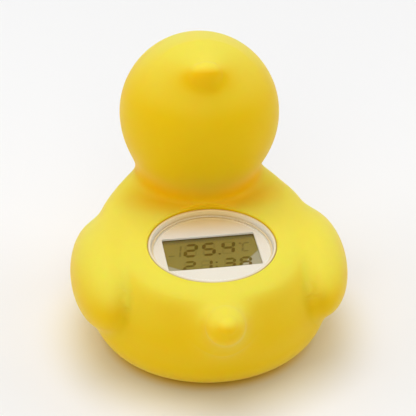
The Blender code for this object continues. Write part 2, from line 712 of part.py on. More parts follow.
def lower_housing():
    """Cup with the battery tub, screw bosses, key posts and the openings in its floor."""
    corner = NOSE_RADIUS - FLOOR_FILLET
    raised = SHOULDER_Z + HOUSING_WALL
    shoulder = NOSE_RADIUS + SHOULDER_WIDTH
    lip = HOUSING_BORE - FIT
    root = SPLIT_Z - LIP_HEIGHT / 2
    profile = [
        (0.0, FLOOR_Z),
        (corner, FLOOR_Z),
        (NOSE_RADIUS, raised),
        (shoulder - CONE_THICKENING, raised),
        (HOUSING_BORE, CONE_TOP_Z + CONE_THICKENING),
        (HOUSING_BORE, root - LIP_THICKNESS),
        (lip - LIP_THICKNESS, root),
        (lip - LIP_THICKNESS, SPLIT_Z + LIP_HEIGHT),
        (lip, SPLIT_Z + LIP_HEIGHT),
        (lip, SPLIT_Z),
        (HOUSING_RADIUS, SPLIT_Z),
        (HOUSING_RADIUS, CONE_TOP_Z),
        (shoulder, SHOULDER_Z),
        (NOSE_RADIUS, SHOULDER_Z),
        (NOSE_RADIUS, NOSE_Z),
        (0.0, NOSE_Z),
    ]
    housing = turned("lower_housing", profile, white_plastic, WIDE_SIDES)
    inside_floor = NOSE_Z + HOUSING_WALL / 2
    door_centre = (0.0, DOOR_Y)
    seat = disc_profile(DOOR_RADIUS + FIT + DOOR_SEAT_MARGIN, inside_floor, SEAT_Z + DOOR_SEAT_THICKNESS)
    join(housing, turned("door_seat", seat, None, WIDE_SIDES, door_centre))
    tub = disc_profile(TUB_RADIUS + TUB_WALL, SEAT_Z + DOOR_SEAT_THICKNESS / 2, TUB_CEILING + TUB_TOP)
    join(housing, turned("tub", tub, None, ROUND_SIDES, door_centre))
    hole = HOUSING_SCREW_SHANK + FIT
    for centre in housing_screw_centres():
        boss = disc_profile(hole + BOSS_WALL, inside_floor, SPLIT_Z - FIT / 2)
        join(housing, turned("boss", boss, None, ROUND_SIDES, centre))
    for centre in door_screw_centres():
        top = NOSE_Z + DOOR_SCREW_SINK + DOOR_SCREW_HEAD_HEIGHT + DOOR_SCREW_LENGTH + BOSS_WALL
        boss = disc_profile(DOOR_SCREW_SHANK + FIT + BOSS_WALL, SEAT_Z + DOOR_SEAT_THICKNESS / 2, top)
        join(housing, turned("boss", boss, None, ROUND_SIDES, centre))
    for side in (-1, 1):
        post = disc_profile(KEY_POST_RADIUS, inside_floor, KEY_BOARD_Z - FIT)
        join(housing, turned("post", post, None, ROUND_SIDES, (side * KEY_POST_X, KEY_BOARD_Y)))
    under = NOSE_Z - HOUSING_WALL
    recess = disc_profile(DOOR_RADIUS + FIT, under, SEAT_Z)
    cut(housing, turned("door_recess", recess, None, WIDE_SIDES, door_centre))
    groove = ring_profile(SEAL_GROOVE_INNER, SEAL_GROOVE_OUTER, under, SEAL_GROOVE_TOP)
    cut(housing, turned("seal_groove", groove, None, WIDE_SIDES, door_centre))
    bore = disc_profile(TUB_RADIUS, under, TUB_CEILING)
    cut(housing, turned("cell_bore", bore, None, WIDE_SIDES, door_centre))
    cut_contact_slots(housing)
    cut_floor_openings(housing, hole, under)
    return housing


def cut_contact_slots(housing):
    """Slots that let the contact tabs pass up through the tub."""
    slot = CONTACT_WIDTH + 2 * FIT
    width = CONTACT_THICKNESS + 2 * FIT
    centre = CELL_RADIUS + FIT + CONTACT_THICKNESS / 2
    reach = CONTACT_TAB_Z - NOSE_Z
    cut(housing, box("tab_slot", (width, slot, reach), (centre, DOOR_Y, NOSE_Z + reach / 2)))
    cut(housing, box("tab_slot", (width, slot, reach), (NEGATIVE_TAB_X, DOOR_Y, NEGATIVE_Z + reach / 2)))


def cut_floor_openings(housing, hole, under):
    """Screw holes with counterbores, pilot holes, key holes and the sensor's hole."""
    seat = NOSE_Z + HOUSING_SCREW_SINK + HOUSING_SCREW_HEAD_HEIGHT + FIT
    head = HOUSING_SCREW_HEAD + FIT
    for centre in housing_screw_centres():
        drill = [
            (0.0, SPLIT_Z + FIT),
            (hole, SPLIT_Z + FIT),
            (hole, seat),
            (head, seat),
            (head, under),
            (0.0, under),
        ]
        cut(housing, turned("screw_hole", drill, None, SMALL_SIDES, centre))
    for centre in door_screw_centres():
        tip = NOSE_Z + DOOR_SCREW_SINK + DOOR_SCREW_HEAD_HEIGHT + DOOR_SCREW_LENGTH
        pilot = disc_profile(DOOR_SCREW_SHANK + FIT, under, tip + FIT)
        cut(housing, turned("pilot", pilot, None, SMALL_SIDES, centre))
    for side in (-1, 1):
        tip = KEY_BOARD_TOP + FIT - KEY_SCREW_LENGTH
        pilot = disc_profile(KEY_SCREW_SHANK + FIT, tip - FIT, KEY_BOARD_Z)
        cut(housing, turned("pilot", pilot, None, SMALL_SIDES, (side * KEY_POST_X, KEY_BOARD_Y)))
        opening = disc_profile(KEY_RADIUS + FIT, under, FLOOR_Z + FIT)
        cut(housing, turned("key_hole", opening, None, ROUND_SIDES, (side * KEY_X, KEY_Y)))
    opening = disc_profile(SENSOR_RADIUS + FIT, under, FLOOR_Z + FIT)
    cut(housing, turned("sensor_hole", opening, None, ROUND_SIDES, (0.0, SENSOR_Y)))


def housing_seal():
    """O-ring between the housing halves."""
    circle = (HOUSING_BORE + HOUSING_RADIUS) / 2
    height = (SPLIT_Z + UPPER_Z) / 2
    ring = cord_ring_profile(circle, HOUSING_SEAL_RADIUS, height)
    return turned("housing_seal", ring, seal_rubber, WIDE_SIDES)


def housing_screws():
    """Four screws, driven up from the base."""
    sizes = (HOUSING_SCREW_HEAD, HOUSING_SCREW_HEAD_HEIGHT, HOUSING_SCREW_SHANK, HOUSING_SCREW_LENGTH)
    seat = NOSE_Z + HOUSING_SCREW_SINK + HOUSING_SCREW_HEAD_HEIGHT
    for number, centre in enumerate(housing_screw_centres(), start=1):
        screw_piece(f"housing_screw_{number}", centre, seat, 1, sizes, screw_steel)


def display():
    """Display glass and the two elastomeric strips that connect it to the board."""
    size = (DISPLAY_WIDTH + 2 * GLASS_BORDER, DISPLAY_HEIGHT + 2 * GLASS_BORDER, GLASS_THICKNESS)
    turn_display(box("lcd_glass", size, (0.0, DISPLAY_Y, GLASS_Z + GLASS_THICKNESS / 2), display_glass))
    low = BOARD_TOP + FIT
    high = GLASS_Z - FIT
    reach = size[1] / 2 - STRIP_WIDTH / 2
    for name, side in (("connector_strip_front", 1), ("connector_strip_rear", -1)):
        centre = (0.0, DISPLAY_Y + side * reach, (low + high) / 2)
        turn_display(box(name, (STRIP_LENGTH, STRIP_WIDTH, high - low), centre, strip_rubber))


def circuit_board():
    """Round board on the deck, with what is soldered to its underside."""
    board = turned("circuit_board", disc_profile(BOARD_RADIUS, BOARD_Z, BOARD_TOP), board_green, WIDE_SIDES)
    sizes = (BOARD_SCREW_HEAD, BOARD_SCREW_HEAD_HEIGHT, BOARD_SCREW_SHANK, BOARD_SCREW_LENGTH)
    for number, side in enumerate((-1, 1), start=1):
        centre = (side * BOARD_SCREW_X, 0.0)
        hole = disc_profile(BOARD_SCREW_SHANK + FIT, BOARD_Z - FIT, BOARD_TOP + FIT)
        cut(board, turned("hole", hole, None, SMALL_SIDES, centre))
        screw_piece(f"board_screw_{number}", centre, BOARD_TOP + FIT, -1, sizes, screw_steel)
    shoulder = 0.6 * CHIP_HEIGHT
    blob = [
        (0.0, BOARD_UNDER),
        (CHIP_RADIUS, BOARD_UNDER),
        (CHIP_RADIUS - CHIP_SLOPE, BOARD_UNDER - shoulder),
        (0.6 * CHIP_RADIUS, BOARD_UNDER - CHIP_HEIGHT),
        (0.0, BOARD_UNDER - CHIP_HEIGHT),
    ]
    turned("controller_chip", blob, epoxy_black, ROUND_SIDES, CHIP_CENTRE)
    can = disc_profile(CRYSTAL_RADIUS, 0.0, CRYSTAL_LENGTH)
    crystal = turned("timing_crystal", can, screw_steel, SMALL_SIDES)
    crystal.rotation_euler = (0.0, math.pi / 2, 0.0)
    start = CRYSTAL_CENTRE[0] - CRYSTAL_LENGTH / 2
    crystal.location = (start, CRYSTAL_CENTRE[1], BOARD_UNDER - CRYSTAL_RADIUS)
    for number, centre in enumerate(CAPACITOR_CENTRES, start=1):
        middle = (*centre, BOARD_UNDER - CAPACITOR_SIZE[2] / 2)
        box(f"chip_capacitor_{number}", CAPACITOR_SIZE, middle, capacitor_tan)


def battery():
    """Button cell between its two contacts."""
    waist = CELL_RADIUS - CELL_WAIST
    profile = [
        (0.0, CELL_Z + CELL_THICKNESS),
        (waist, CELL_Z + CELL_THICKNESS),
        (waist, CELL_Z + CELL_THICKNESS - CELL_CHAMFER),
        (CELL_RADIUS, CELL_Z + CELL_THICKNESS - CELL_CHAMFER),
        (CELL_RADIUS, CELL_Z + CELL_CHAMFER),
        (CELL_RADIUS - CELL_CHAMFER, CELL_Z),
        (0.0, CELL_Z),
    ]
    turned("battery_cell", profile, nickel, ROUND_SIDES, (0.0, DOOR_Y))
    bite = CONTACT_THICKNESS / 2
    tab_x = CELL_RADIUS + FIT + CONTACT_THICKNESS / 2
    pad = (tab_x + CONTACT_THICKNESS / 2 + CELL_RADIUS / 2, CONTACT_WIDTH, CONTACT_THICKNESS)
    pad_x = tab_x + CONTACT_THICKNESS / 2 - pad[0] / 2
    positive = box("contact_positive", pad, (pad_x, DOOR_Y, POSITIVE_Z + bite), nickel)
    tab = (CONTACT_THICKNESS, CONTACT_WIDTH, CONTACT_TAB_Z - POSITIVE_Z)
    join(positive, box("tab", tab, (tab_x, DOOR_Y, POSITIVE_Z + tab[2] / 2)))
    pad = (CELL_RADIUS, CONTACT_WIDTH, CONTACT_THICKNESS)
    negative = box("contact_negative", pad, (0.0, DOOR_Y, NEGATIVE_Z + bite), nickel)
    tab = (CONTACT_THICKNESS, CONTACT_WIDTH, CONTACT_TAB_Z - NEGATIVE_Z)
    tab_x = NEGATIVE_TAB_X + CONTACT_THICKNESS / 2
    join(negative, box("tab", tab, (tab_x, DOOR_Y, NEGATIVE_Z + tab[2] / 2)))


def door_screw_centres():
    """Screw axes on a circle about the door's axis, the first one to the front."""
    turns = [math.pi / 2 + 2 * math.pi * i / DOOR_SCREW_COUNT for i in range(DOOR_SCREW_COUNT)]
    return [
        (DOOR_SCREW_CIRCLE * math.cos(turn), DOOR_Y + DOOR_SCREW_CIRCLE * math.sin(turn))
        for turn in turns
    ]


def battery_door():
    """Round door with its O-ring and screws."""
    profile = disc_profile(DOOR_RADIUS, NOSE_Z, DOOR_TOP)
    door = turned("battery_door", profile, white_plastic, WIDE_SIDES, (0.0, DOOR_Y))
    seat = NOSE_Z + DOOR_SCREW_SINK + DOOR_SCREW_HEAD_HEIGHT
    hole = DOOR_SCREW_SHANK + FIT
    head = DOOR_SCREW_HEAD + FIT
    sizes = (DOOR_SCREW_HEAD, DOOR_SCREW_HEAD_HEIGHT, DOOR_SCREW_SHANK, DOOR_SCREW_LENGTH)
    for number, centre in enumerate(door_screw_centres(), start=1):
        drill = [
            (0.0, DOOR_TOP + FIT),
            (hole, DOOR_TOP + FIT),
            (hole, seat + FIT),
            (head, seat + FIT),
            (head, NOSE_Z - FIT),
            (0.0, NOSE_Z - FIT),
        ]
        cut(door, turned("hole", drill, None, SMALL_SIDES, centre))
        screw_piece(f"door_screw_{number}", centre, seat, 1, sizes, screw_steel)
    ring = cord_ring_profile(DOOR_SEAL_CIRCLE, DOOR_SEAL_RADIUS, SEAT_Z + DOOR_SEAL_RADIUS)
    turned("door_seal", ring, seal_rubber, ROUND_SIDES, (0.0, DOOR_Y))


def sensor():
    """Steel cap in the floor, the bead inside it and the lead up to the board."""
    flange_z = FLOOR_Z + FIT
    bore = SENSOR_RADIUS - SENSOR_WALL
    profile = [
        (0.0, SENSOR_TIP_Z + SENSOR_WALL),
        (bore, SENSOR_TIP_Z + SENSOR_WALL),
        (bore, flange_z + SENSOR_WALL),
        (SENSOR_RADIUS + SENSOR_FLANGE, flange_z + SENSOR_WALL),
        (SENSOR_RADIUS + SENSOR_FLANGE, flange_z),
        (SENSOR_RADIUS, flange_z),
        (SENSOR_RADIUS, SENSOR_TIP_Z + SENSOR_CURVE),
        (SENSOR_RADIUS - 0.3 * SENSOR_CURVE, SENSOR_TIP_Z + 0.3 * SENSOR_CURVE),
        (SENSOR_RADIUS - SENSOR_CURVE, SENSOR_TIP_Z),
        (0.0, SENSOR_TIP_Z),
    ]
    turned("sensor_cap", profile, steel, ROUND_SIDES, (0.0, SENSOR_Y))
    bead_z = SENSOR_TIP_Z + SENSOR_WALL + FIT + BEAD_RADIUS
    mesh = bpy.data.meshes.new("thermistor")
    shape = bmesh.new()
    bmesh.ops.create_uvsphere(shape, u_segments=12, v_segments=8, radius=BEAD_RADIUS)
    shape.to_mesh(mesh)
    shape.free()
    bead = add_object("thermistor", mesh, epoxy_black, parts)
    bead.location = (0.0, SENSOR_Y, bead_z)
    start = bead_z + BEAD_RADIUS + FIT
    end = BOARD_UNDER
    route = [
        (0.0, SENSOR_Y, start),
        (0.0, SENSOR_Y, KEY_BOARD_TOP),
        (0.0, SENSOR_Y + LEAD_SWAY, (start + end) / 2),
        (0.0, SENSOR_Y, DECK_Z),
        (0.0, SENSOR_Y, end),
    ]
    wire("sensor_lead", route, LEAD_RADIUS, lead_white)


def battery_leads():
    """Two wires from the contact tabs through the deck's hole to the board."""
    start = CONTACT_TAB_Z + FIT
    tabs = {
        "battery_lead_positive": (CELL_RADIUS + FIT + CONTACT_THICKNESS / 2, BATTERY_LEAD_SPREAD, lead_red),
        "battery_lead_negative": (NEGATIVE_TAB_X + CONTACT_THICKNESS / 2, -BATTERY_LEAD_SPREAD, lead_black),
    }
    for name, (tab_x, spread, finish) in tabs.items():
        route = [
            (tab_x, DOOR_Y, start),
            (tab_x, DOOR_Y, start + 0.3 * (DECK_Z - start)),
            ((tab_x + spread) / 2, (DOOR_Y + SENSOR_Y) / 2, start + 0.7 * (DECK_Z - start)),
            (spread, SENSOR_Y, DECK_Z),
            (spread, SENSOR_Y, BOARD_UNDER),
        ]
        wire(name, route, BATTERY_LEAD_RADIUS, finish)


def setting_keys():
    """Two keys in the floor, and above them the small board with a switch over each."""
    lead_hole = LEAD_RADIUS + 2 * FIT
    board_size = (KEY_BOARD_LENGTH, KEY_BOARD_DEPTH, KEY_BOARD_THICKNESS)
    board_centre = (0.0, KEY_BOARD_Y, (KEY_BOARD_Z + KEY_BOARD_TOP) / 2)
    board = box("key_board", board_size, board_centre, board_green)
    above = KEY_BOARD_TOP + FIT
    through = (KEY_BOARD_Z - FIT, above)
    cut(board, turned("hole", disc_profile(lead_hole, *through), None, SMALL_SIDES, (0.0, SENSOR_Y)))
    sizes = (KEY_SCREW_HEAD, KEY_SCREW_HEAD_HEIGHT, KEY_SCREW_SHANK, KEY_SCREW_LENGTH)
    for side, word, number in ((-1, "left", 1), (1, "right", 2)):
        post = (side * KEY_POST_X, KEY_BOARD_Y)
        cut(board, turned("hole", disc_profile(KEY_SCREW_SHANK + FIT, *through), None, SMALL_SIDES, post))
        screw_piece(f"key_board_screw_{number}", post, above, -1, sizes, screw_steel)
        profile = [
            (0.0, KEY_NUB_Z + KEY_NUB_HEIGHT),
            (KEY_NUB_RADIUS, KEY_NUB_Z + KEY_NUB_HEIGHT),
            (KEY_NUB_RADIUS, KEY_NUB_Z),
            (KEY_RADIUS + KEY_FLANGE, KEY_NUB_Z),
            (KEY_RADIUS + KEY_FLANGE, KEY_FLANGE_Z),
            (KEY_RADIUS, KEY_FLANGE_Z),
            (KEY_RADIUS, KEY_Z),
            (0.0, KEY_Z),
        ]
        turned(f"key_{word}", profile, key_rubber, ROUND_SIDES, (side * KEY_X, KEY_Y))
        middle = (side * KEY_X, KEY_Y, SWITCH_Z + SWITCH_HEIGHT / 2)
        switch = box(f"key_switch_{word}", (SWITCH_SIZE, SWITCH_SIZE, SWITCH_HEIGHT), middle, epoxy_black)
        stem = disc_profile(KEY_NUB_RADIUS, SWITCH_STEM_Z, SWITCH_Z + SWITCH_HEIGHT / 2)
        join(switch, turned("stem", stem, None, SMALL_SIDES, (side * KEY_X, KEY_Y)))


for old in list(bpy.data.objects):
    bpy.data.objects.remove(old)

parts = bpy.data.collections.new("baby_bath_thermometer")
tools = bpy.data.collections.new("cutters")
bpy.context.scene.collection.children.link(parts)
bpy.context.scene.collection.children.link(tools)
tools.hide_render = True

unit = bpy.data.objects.new("unit_axis", None)
unit.location = (0.0, UNIT_Y, 0.0)
bpy.context.scene.collection.objects.link(unit)

vinyl = material("soft_yellow_vinyl", (0.84, 0.62, 0.03), 0.55)
white_plastic = material("white_plastic", (0.86, 0.84, 0.78), 0.4)
clear = material("clear_lens", (0.95, 0.96, 0.95), 0.05, alpha=0.3)
seal_rubber = material("seal_rubber", (0.45, 0.36, 0.28), 0.7)
display_glass = material("display_glass", (0.24, 0.24, 0.13), 0.2)
strip_rubber = material("strip_rubber", (0.75, 0.62, 0.6), 0.7)
board_green = material("board_green", (0.03, 0.2, 0.08), 0.5)
epoxy_black = material("epoxy_black", (0.01, 0.01, 0.01), 0.4)
capacitor_tan = material("capacitor_tan", (0.5, 0.34, 0.2), 0.5)
screw_steel = material("screw_steel", (0.62, 0.62, 0.6), 0.3, metallic=1.0)
steel = material("brushed_steel", (0.7, 0.7, 0.7), 0.25, metallic=1.0)
nickel = material("nickel", (0.72, 0.7, 0.66), 0.3, metallic=1.0)
key_rubber = material("key_rubber", (0.35, 0.36, 0.38), 0.75)
lead_white = material("lead_white", (0.8, 0.8, 0.78), 0.5)
lead_red = material("lead_red", (0.6, 0.03, 0.02), 0.5)
lead_black = material("lead_black", (0.02, 0.02, 0.02), 0.5)

duck_skin()
window_lens()
lens_seal()
upper_housing()
lower_housing()
housing_seal()
housing_screws()
display()
circuit_board()
battery()
battery_door()
sensor()
battery_leads()
setting_keys()

for piece in parts.objects:
    if piece.type == "MESH":
        piece.data.shade_smooth()
        piece.data.set_sharp_from_angle(angle=math.radians(35))
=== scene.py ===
"""Looks of a floating baby bath thermometer: a soft vinyl duck with a sealed display unit in its back.

The file is laid out as an add-on and is run as a script. The duck looks along +Y and stands on z = 0.
The display unit's upright axis stands behind the origin, and most places are given from its foot. Lengths
are in millimetres, but settings, the camera, the lights and the floor's mesh are in metres, as in Blender.
"""

import math

import bpy
import numpy as np
from mathutils import Matrix, Vector
from bpy.props import FloatProperty, FloatVectorProperty, IntProperty, PointerProperty, StringProperty


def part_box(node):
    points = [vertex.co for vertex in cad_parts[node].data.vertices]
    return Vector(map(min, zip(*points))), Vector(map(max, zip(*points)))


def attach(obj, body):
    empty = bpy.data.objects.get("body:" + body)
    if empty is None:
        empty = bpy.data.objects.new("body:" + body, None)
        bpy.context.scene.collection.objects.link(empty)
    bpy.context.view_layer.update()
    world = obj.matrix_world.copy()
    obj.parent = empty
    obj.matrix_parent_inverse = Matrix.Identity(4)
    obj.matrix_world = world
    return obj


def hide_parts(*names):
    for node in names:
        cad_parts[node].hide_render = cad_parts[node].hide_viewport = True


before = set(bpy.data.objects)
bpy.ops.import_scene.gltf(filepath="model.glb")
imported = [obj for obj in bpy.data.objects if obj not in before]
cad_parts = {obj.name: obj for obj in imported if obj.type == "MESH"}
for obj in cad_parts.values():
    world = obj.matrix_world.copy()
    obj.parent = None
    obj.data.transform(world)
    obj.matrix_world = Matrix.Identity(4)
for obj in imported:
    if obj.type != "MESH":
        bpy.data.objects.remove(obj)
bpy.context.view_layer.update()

bl_info = {
    "name": "Baby bath thermometer",
    "version": (1, 0, 0),
    "blender": (4, 5, 0),
    "location": "View3D > Sidebar > Thermometer",
    "description": "Builds the looks of a floating bath thermometer over its CAD model",
    "category": "Add Mesh",
}

MM = 0.001


def millimetres(corners):
    """Low and high corner of a box, in millimetres."""
    return [corner / MM for corner in corners]


# Places taken from the CAD model
LENS_LOW, LENS_HIGH = millimetres(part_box("window_lens"))
AXIS_Y = (LENS_LOW.y + LENS_HIGH.y) / 2
WINDOW_Z = LENS_HIGH.z
LENS_RADIUS = (LENS_HIGH.x - LENS_LOW.x) / 2
WINDOW_RADIUS = LENS_RADIUS + 1.3
SEAL_LOW, SEAL_HIGH = millimetres(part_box("lens_seal"))
UPPER_LOW, UPPER_HIGH = millimetres(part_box("upper_housing"))
HOUSING_RADIUS = (UPPER_HIGH.x - UPPER_LOW.x) / 2
LOWER_LOW, LOWER_HIGH = millimetres(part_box("lower_housing"))
NOSE_Z = LOWER_LOW.z
NOSE_RADIUS = 17.3
GLASS_LOW, GLASS_HIGH = millimetres(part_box("lcd_glass"))
DOOR_LOW, DOOR_HIGH = millimetres(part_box("battery_door"))
DOOR_Y = (DOOR_LOW.y + DOOR_HIGH.y) / 2 - AXIS_Y
DOOR_RADIUS = (DOOR_HIGH.x - DOOR_LOW.x) / 2
CAP_LOW, CAP_HIGH = millimetres(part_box("sensor_cap"))
CAP_Y = (CAP_LOW.y + CAP_HIGH.y) / 2 - AXIS_Y
KEY_LOW, KEY_HIGH = millimetres(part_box("key_right"))
KEY_X = (KEY_LOW.x + KEY_HIGH.x) / 2
KEY_Y = (KEY_LOW.y + KEY_HIGH.y) / 2 - AXIS_Y


def middles(boxes):
    """Middle of each box, from the foot of the unit's axis."""
    return [((low.x + high.x) / 2, (low.y + high.y) / 2 - AXIS_Y) for low, high in map(millimetres, boxes)]


HOUSING_SCREWS = middles(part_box(f"housing_screw_{number}") for number in (1, 2, 3, 4))
DOOR_SCREWS = middles(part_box(f"door_screw_{number}") for number in (1, 2, 3))

# Posts for the housing's screws
BOSS_RADIUS = 2.4

# The duck's forms
SKIN_WALL = 2.0
LAND_BLEND = 4.0
BASE_BLEND = 4.0
BASE_TRIM = 0.3
HEAD_CENTRE = (0.0, 40.7, 73.9)
HEAD_RADII = (28.5, 28.5, 29.0)
NECK_Y = 43.5
NECK_DEPTH = 0.86
BILL_CENTRE = (0.0, 65.5, 70.5)
BILL_RADII = np.array((12.5, 13.0, 4.6))
LOWER_BILL_CENTRE = (0.0, 62.5, 64.9)
LOWER_BILL_RADII = np.array((10.0, 10.0, 3.8))
EYE_CENTRE = (14.5, 62.5, 81.5)
EYE_RADII = (3.6, 6.0, 4.8)

# Where the planes that make the duck's mesh turn, in Y and Z
PIVOT_Y = 17.0
PIVOT_Z = 51.0

# The display's window in the face plate
DISPLAY_Y = 0.35
DISPLAY_HALF_WIDTH = 16.5
DISPLAY_HALF_HEIGHT = 9.75
PANE_Y = 1.4
PANE_HALF_WIDTH = 17.7
PANE_HALF_HEIGHT = 11.7

# Lean of the figures: steps across for each step up
SLANT = 0.19

# Segments lit in each figure, clockwise from the top, the middle one last
FIGURES = {"0": "abcdef", "1": "bc", "2": "abged", "3": "abgcd", "4": "fgbc", "5": "afgcd"}
FIGURES.update({"6": "afgedc", "7": "abc", "8": "abcdefg", "9": "abfgcd", "-": "g", "C": "adef"})


# Settings


def length_setting(name, text, default):
    """A length, given here in millimetres and kept in metres."""
    return FloatProperty(name=name, description=text, subtype="DISTANCE", default=default * MM)


def angle_setting(name, text, degrees):
    """An angle, given here in degrees and kept in radians."""
    return FloatProperty(name=name, description=text, subtype="ANGLE", default=math.radians(degrees))


def colour_setting(name, text, default):
    """A colour."""
    return FloatVectorProperty(name=name, description=text, subtype="COLOR", default=default)


def power_setting(name, text, default):
    """A light's power in watts."""
    return FloatProperty(name=name, description=text, subtype="POWER", unit="POWER", default=default)


class SkinSettings(bpy.types.PropertyGroup):
    """Fineness and finish of the vinyl duck."""

    rings: IntProperty(name="Rings", description="Rings from the tail to the head", default=300, min=60)
    sides: IntProperty(name="Sides", description="Faces round each ring", default=240, min=48)
    # Painted light: the vinyl is painted paler where it faces up, as if lit from above, and deeper where it
    # faces out, as if in shade
    painted_lit_colour: colour_setting("Top colour", "Vinyl where it faces up", (0.86, 0.7, 0.07))
    painted_shade_colour: colour_setting("Side colour", "Vinyl where it faces out", (0.86, 0.53, 0.001))
    bill_colour: colour_setting("Bill colour", "Paint on the bill", (0.75, 0.16, 0.01))
    eye_colour: colour_setting("Eye colour", "Paint on the eyes", (0.012, 0.012, 0.014))
    grain: length_setting("Grain", "Size of the vinyl's fine grain", 0.35)
    edge: length_setting("Window edge", "Rounding of the vinyl round the window", 1.0)


class HousingSettings(bpy.types.PropertyGroup):
    """Shape and finish of the white housing."""

    colour: colour_setting("Plastic", "White plastic", (0.88, 0.865, 0.82))
    rounding: length_setting("Rounding", "Rounding of moulded edges", 0.25)
    sides: IntProperty(name="Sides", description="Faces round each turned piece", default=144, min=24)


class DisplaySettings(bpy.types.PropertyGroup):
    """What the display shows and its colours."""

    turn: angle_setting("Turn", "Turn of the display about the unit's axis", 2.3)
    reading: StringProperty(name="Reading", description="Figures of the upper row", default="254")
    time: StringProperty(name="Time", description="Figures of the lower row", default="2138")
    field_colour: colour_setting("Field", "Film behind the figures", (0.232, 0.2, 0.053))
    figure_colour: colour_setting("Figures", "Figures that are on", (0.075, 0.05, 0.006))


class StageSettings(bpy.types.PropertyGroup):
    """Camera and light."""

    azimuth: angle_setting("Azimuth", "Camera's turn from behind the duck", -7.0)
    elevation: angle_setting("Elevation", "Camera's height over the horizon", 33.4596)
    roll: angle_setting("Roll", "Camera's turn about its own axis", 0.5494)
    distance: length_setting("Distance", "Camera to the middle of the view", 600.0)
    target: FloatVectorProperty(
        name="Target",
        description="Middle of the view",
        subtype="TRANSLATION",
        default=(0.00017, -0.00209, 0.05),
    )
    focal_length: FloatProperty(name="Focal length", description="Lens on a 36 mm sensor", default=146.74)
    sky: FloatProperty(name="Sky", description="Strength of the light from all round", default=0.4)
    top_light: power_setting("Top light", "Power of the soft light above", 10.0)
    side_light: power_setting("Side lights", "Power of each soft light at the sides", 4.5)
    front_light: power_setting("Front light", "Power of the soft light over the camera", 5.0)
    floor_colour: colour_setting("Floor", "Colour of the floor", (0.905, 0.905, 0.905))


# Surfaces


class Form:
    """Points and faces of a piece, gathered from closed surfaces."""

    def __init__(self):
        self.points, self.quads, self.triangles, self.count = [], [], [], 0

    def add(self, rings, poles=None):
        """Adds a surface given as rings of points, an array of rings by points round by three.

        Neighbouring points of neighbouring rings make the faces. The rings run from the top down the outer
        side and their points anticlockwise from above. The first and last ring close on the two pole
        points, or on each other where there are none.
        """
        rows, columns = rings.shape[:2]
        here = self.count + np.arange(rows * columns).reshape(rows, columns)
        upper, lower = (here, np.roll(here, -1, axis=0)) if poles is None else (here[:-1], here[1:])
        faces = [upper, lower, np.roll(lower, -1, axis=1), np.roll(upper, -1, axis=1)]
        self.quads.append(np.stack(faces, axis=-1).reshape(-1, 4))
        self.points.append(rings.reshape(-1, 3))
        self.count += rows * columns
        if poles is not None:
            first, last = np.full(columns, self.count), np.full(columns, self.count + 1)
            self.triangles.append(np.stack([first, here[0], np.roll(here[0], -1)], axis=-1))
            self.triangles.append(np.stack([last, np.roll(here[-1], -1), here[-1]], axis=-1))
            self.points.append(np.array(poles, dtype=float).reshape(2, 3))
            self.count += 2
        return self

    def add_block(self, rings):
        """Adds a surface that closes on the middles of its first and last ring."""
        return self.add(rings, rings[[0, -1]].mean(axis=1))

    def mesh(self, name):
        """One mesh of all that was added."""
        points = np.concatenate(self.points)
        quads = np.concatenate(self.quads)
        triangles = np.concatenate(self.triangles) if self.triangles else np.empty((0, 3), dtype=int)
        starts = [np.arange(len(quads)) * 4, quads.size + np.arange(len(triangles)) * 3]
        mesh = bpy.data.meshes.new(name)
        mesh.vertices.add(len(points))
        mesh.vertices.foreach_set("co", (points * MM).ravel())
        mesh.loops.add(quads.size + triangles.size)
        mesh.loops.foreach_set("vertex_index", np.concatenate([quads.ravel(), triangles.ravel()]))
        mesh.polygons.add(len(quads) + len(triangles))
        mesh.polygons.foreach_set("loop_start", np.concatenate(starts))
        mesh.update(calc_edges=True)
        mesh.validate()
        return mesh


def angles(sides):
    """Angles evenly spaced round a circle."""
    return np.arange(sides) / sides * 2 * math.pi


def rounded(corners, steps=4):
    """A profile whose corners are replaced by quadratic curves.

    Each corner is a radius, a height and a rounding t. With unit vectors a and b to its neighbours, the
    corner becomes the points corner + (1 - s)^2 t a + s^2 t b for s from 0 to 1.
    """
    corners = np.array(corners, dtype=float)
    place = corners[:, None, :2]
    before, after = np.roll(place, 1, axis=0) - place, np.roll(place, -1, axis=0) - place
    back, ahead = (np.linalg.norm(side, axis=-1, keepdims=True) for side in (before, after))
    reach = np.minimum(corners[:, None, 2:], 0.45 * np.minimum(back, ahead))
    share = np.linspace(0.0, 1.0, steps + 1)[None, :, None]
    points = place + reach * ((1 - share) ** 2 * before / back + share**2 * after / ahead)
    points = points.reshape(-1, 2)
    moved = np.linalg.norm(np.diff(points, axis=0), axis=-1) > 1e-4
    return points[np.concatenate([[True], moved])]


def turned(profile, sides, centre=(0.0, 0.0)):
    """Rings of a turned surface: every profile point goes once round the centre at its radius and height."""
    turn = angles(sides)
    rings = np.empty((len(profile), sides, 3))
    rings[..., 0] = centre[0] + profile[:, :1] * np.cos(turn)
    rings[..., 1] = centre[1] + AXIS_Y + profile[:, :1] * np.sin(turn)
    rings[..., 2] = profile[:, 1:]
    return rings


def turned_solid(form, corners, sides, centre=(0.0, 0.0)):
    """Adds a turned solid whose profile starts and ends on the axis."""
    profile = rounded(corners)
    poles = [(centre[0], centre[1] + AXIS_Y, profile[0, 1]), (centre[0], centre[1] + AXIS_Y, profile[-1, 1])]
    return form.add(turned(profile[1:-1], sides, centre), poles)


def turned_ring(form, corners, sides, centre=(0.0, 0.0)):
    """Adds a turned ring whose profile closes on itself."""
    return form.add(turned(rounded(corners), sides, centre))


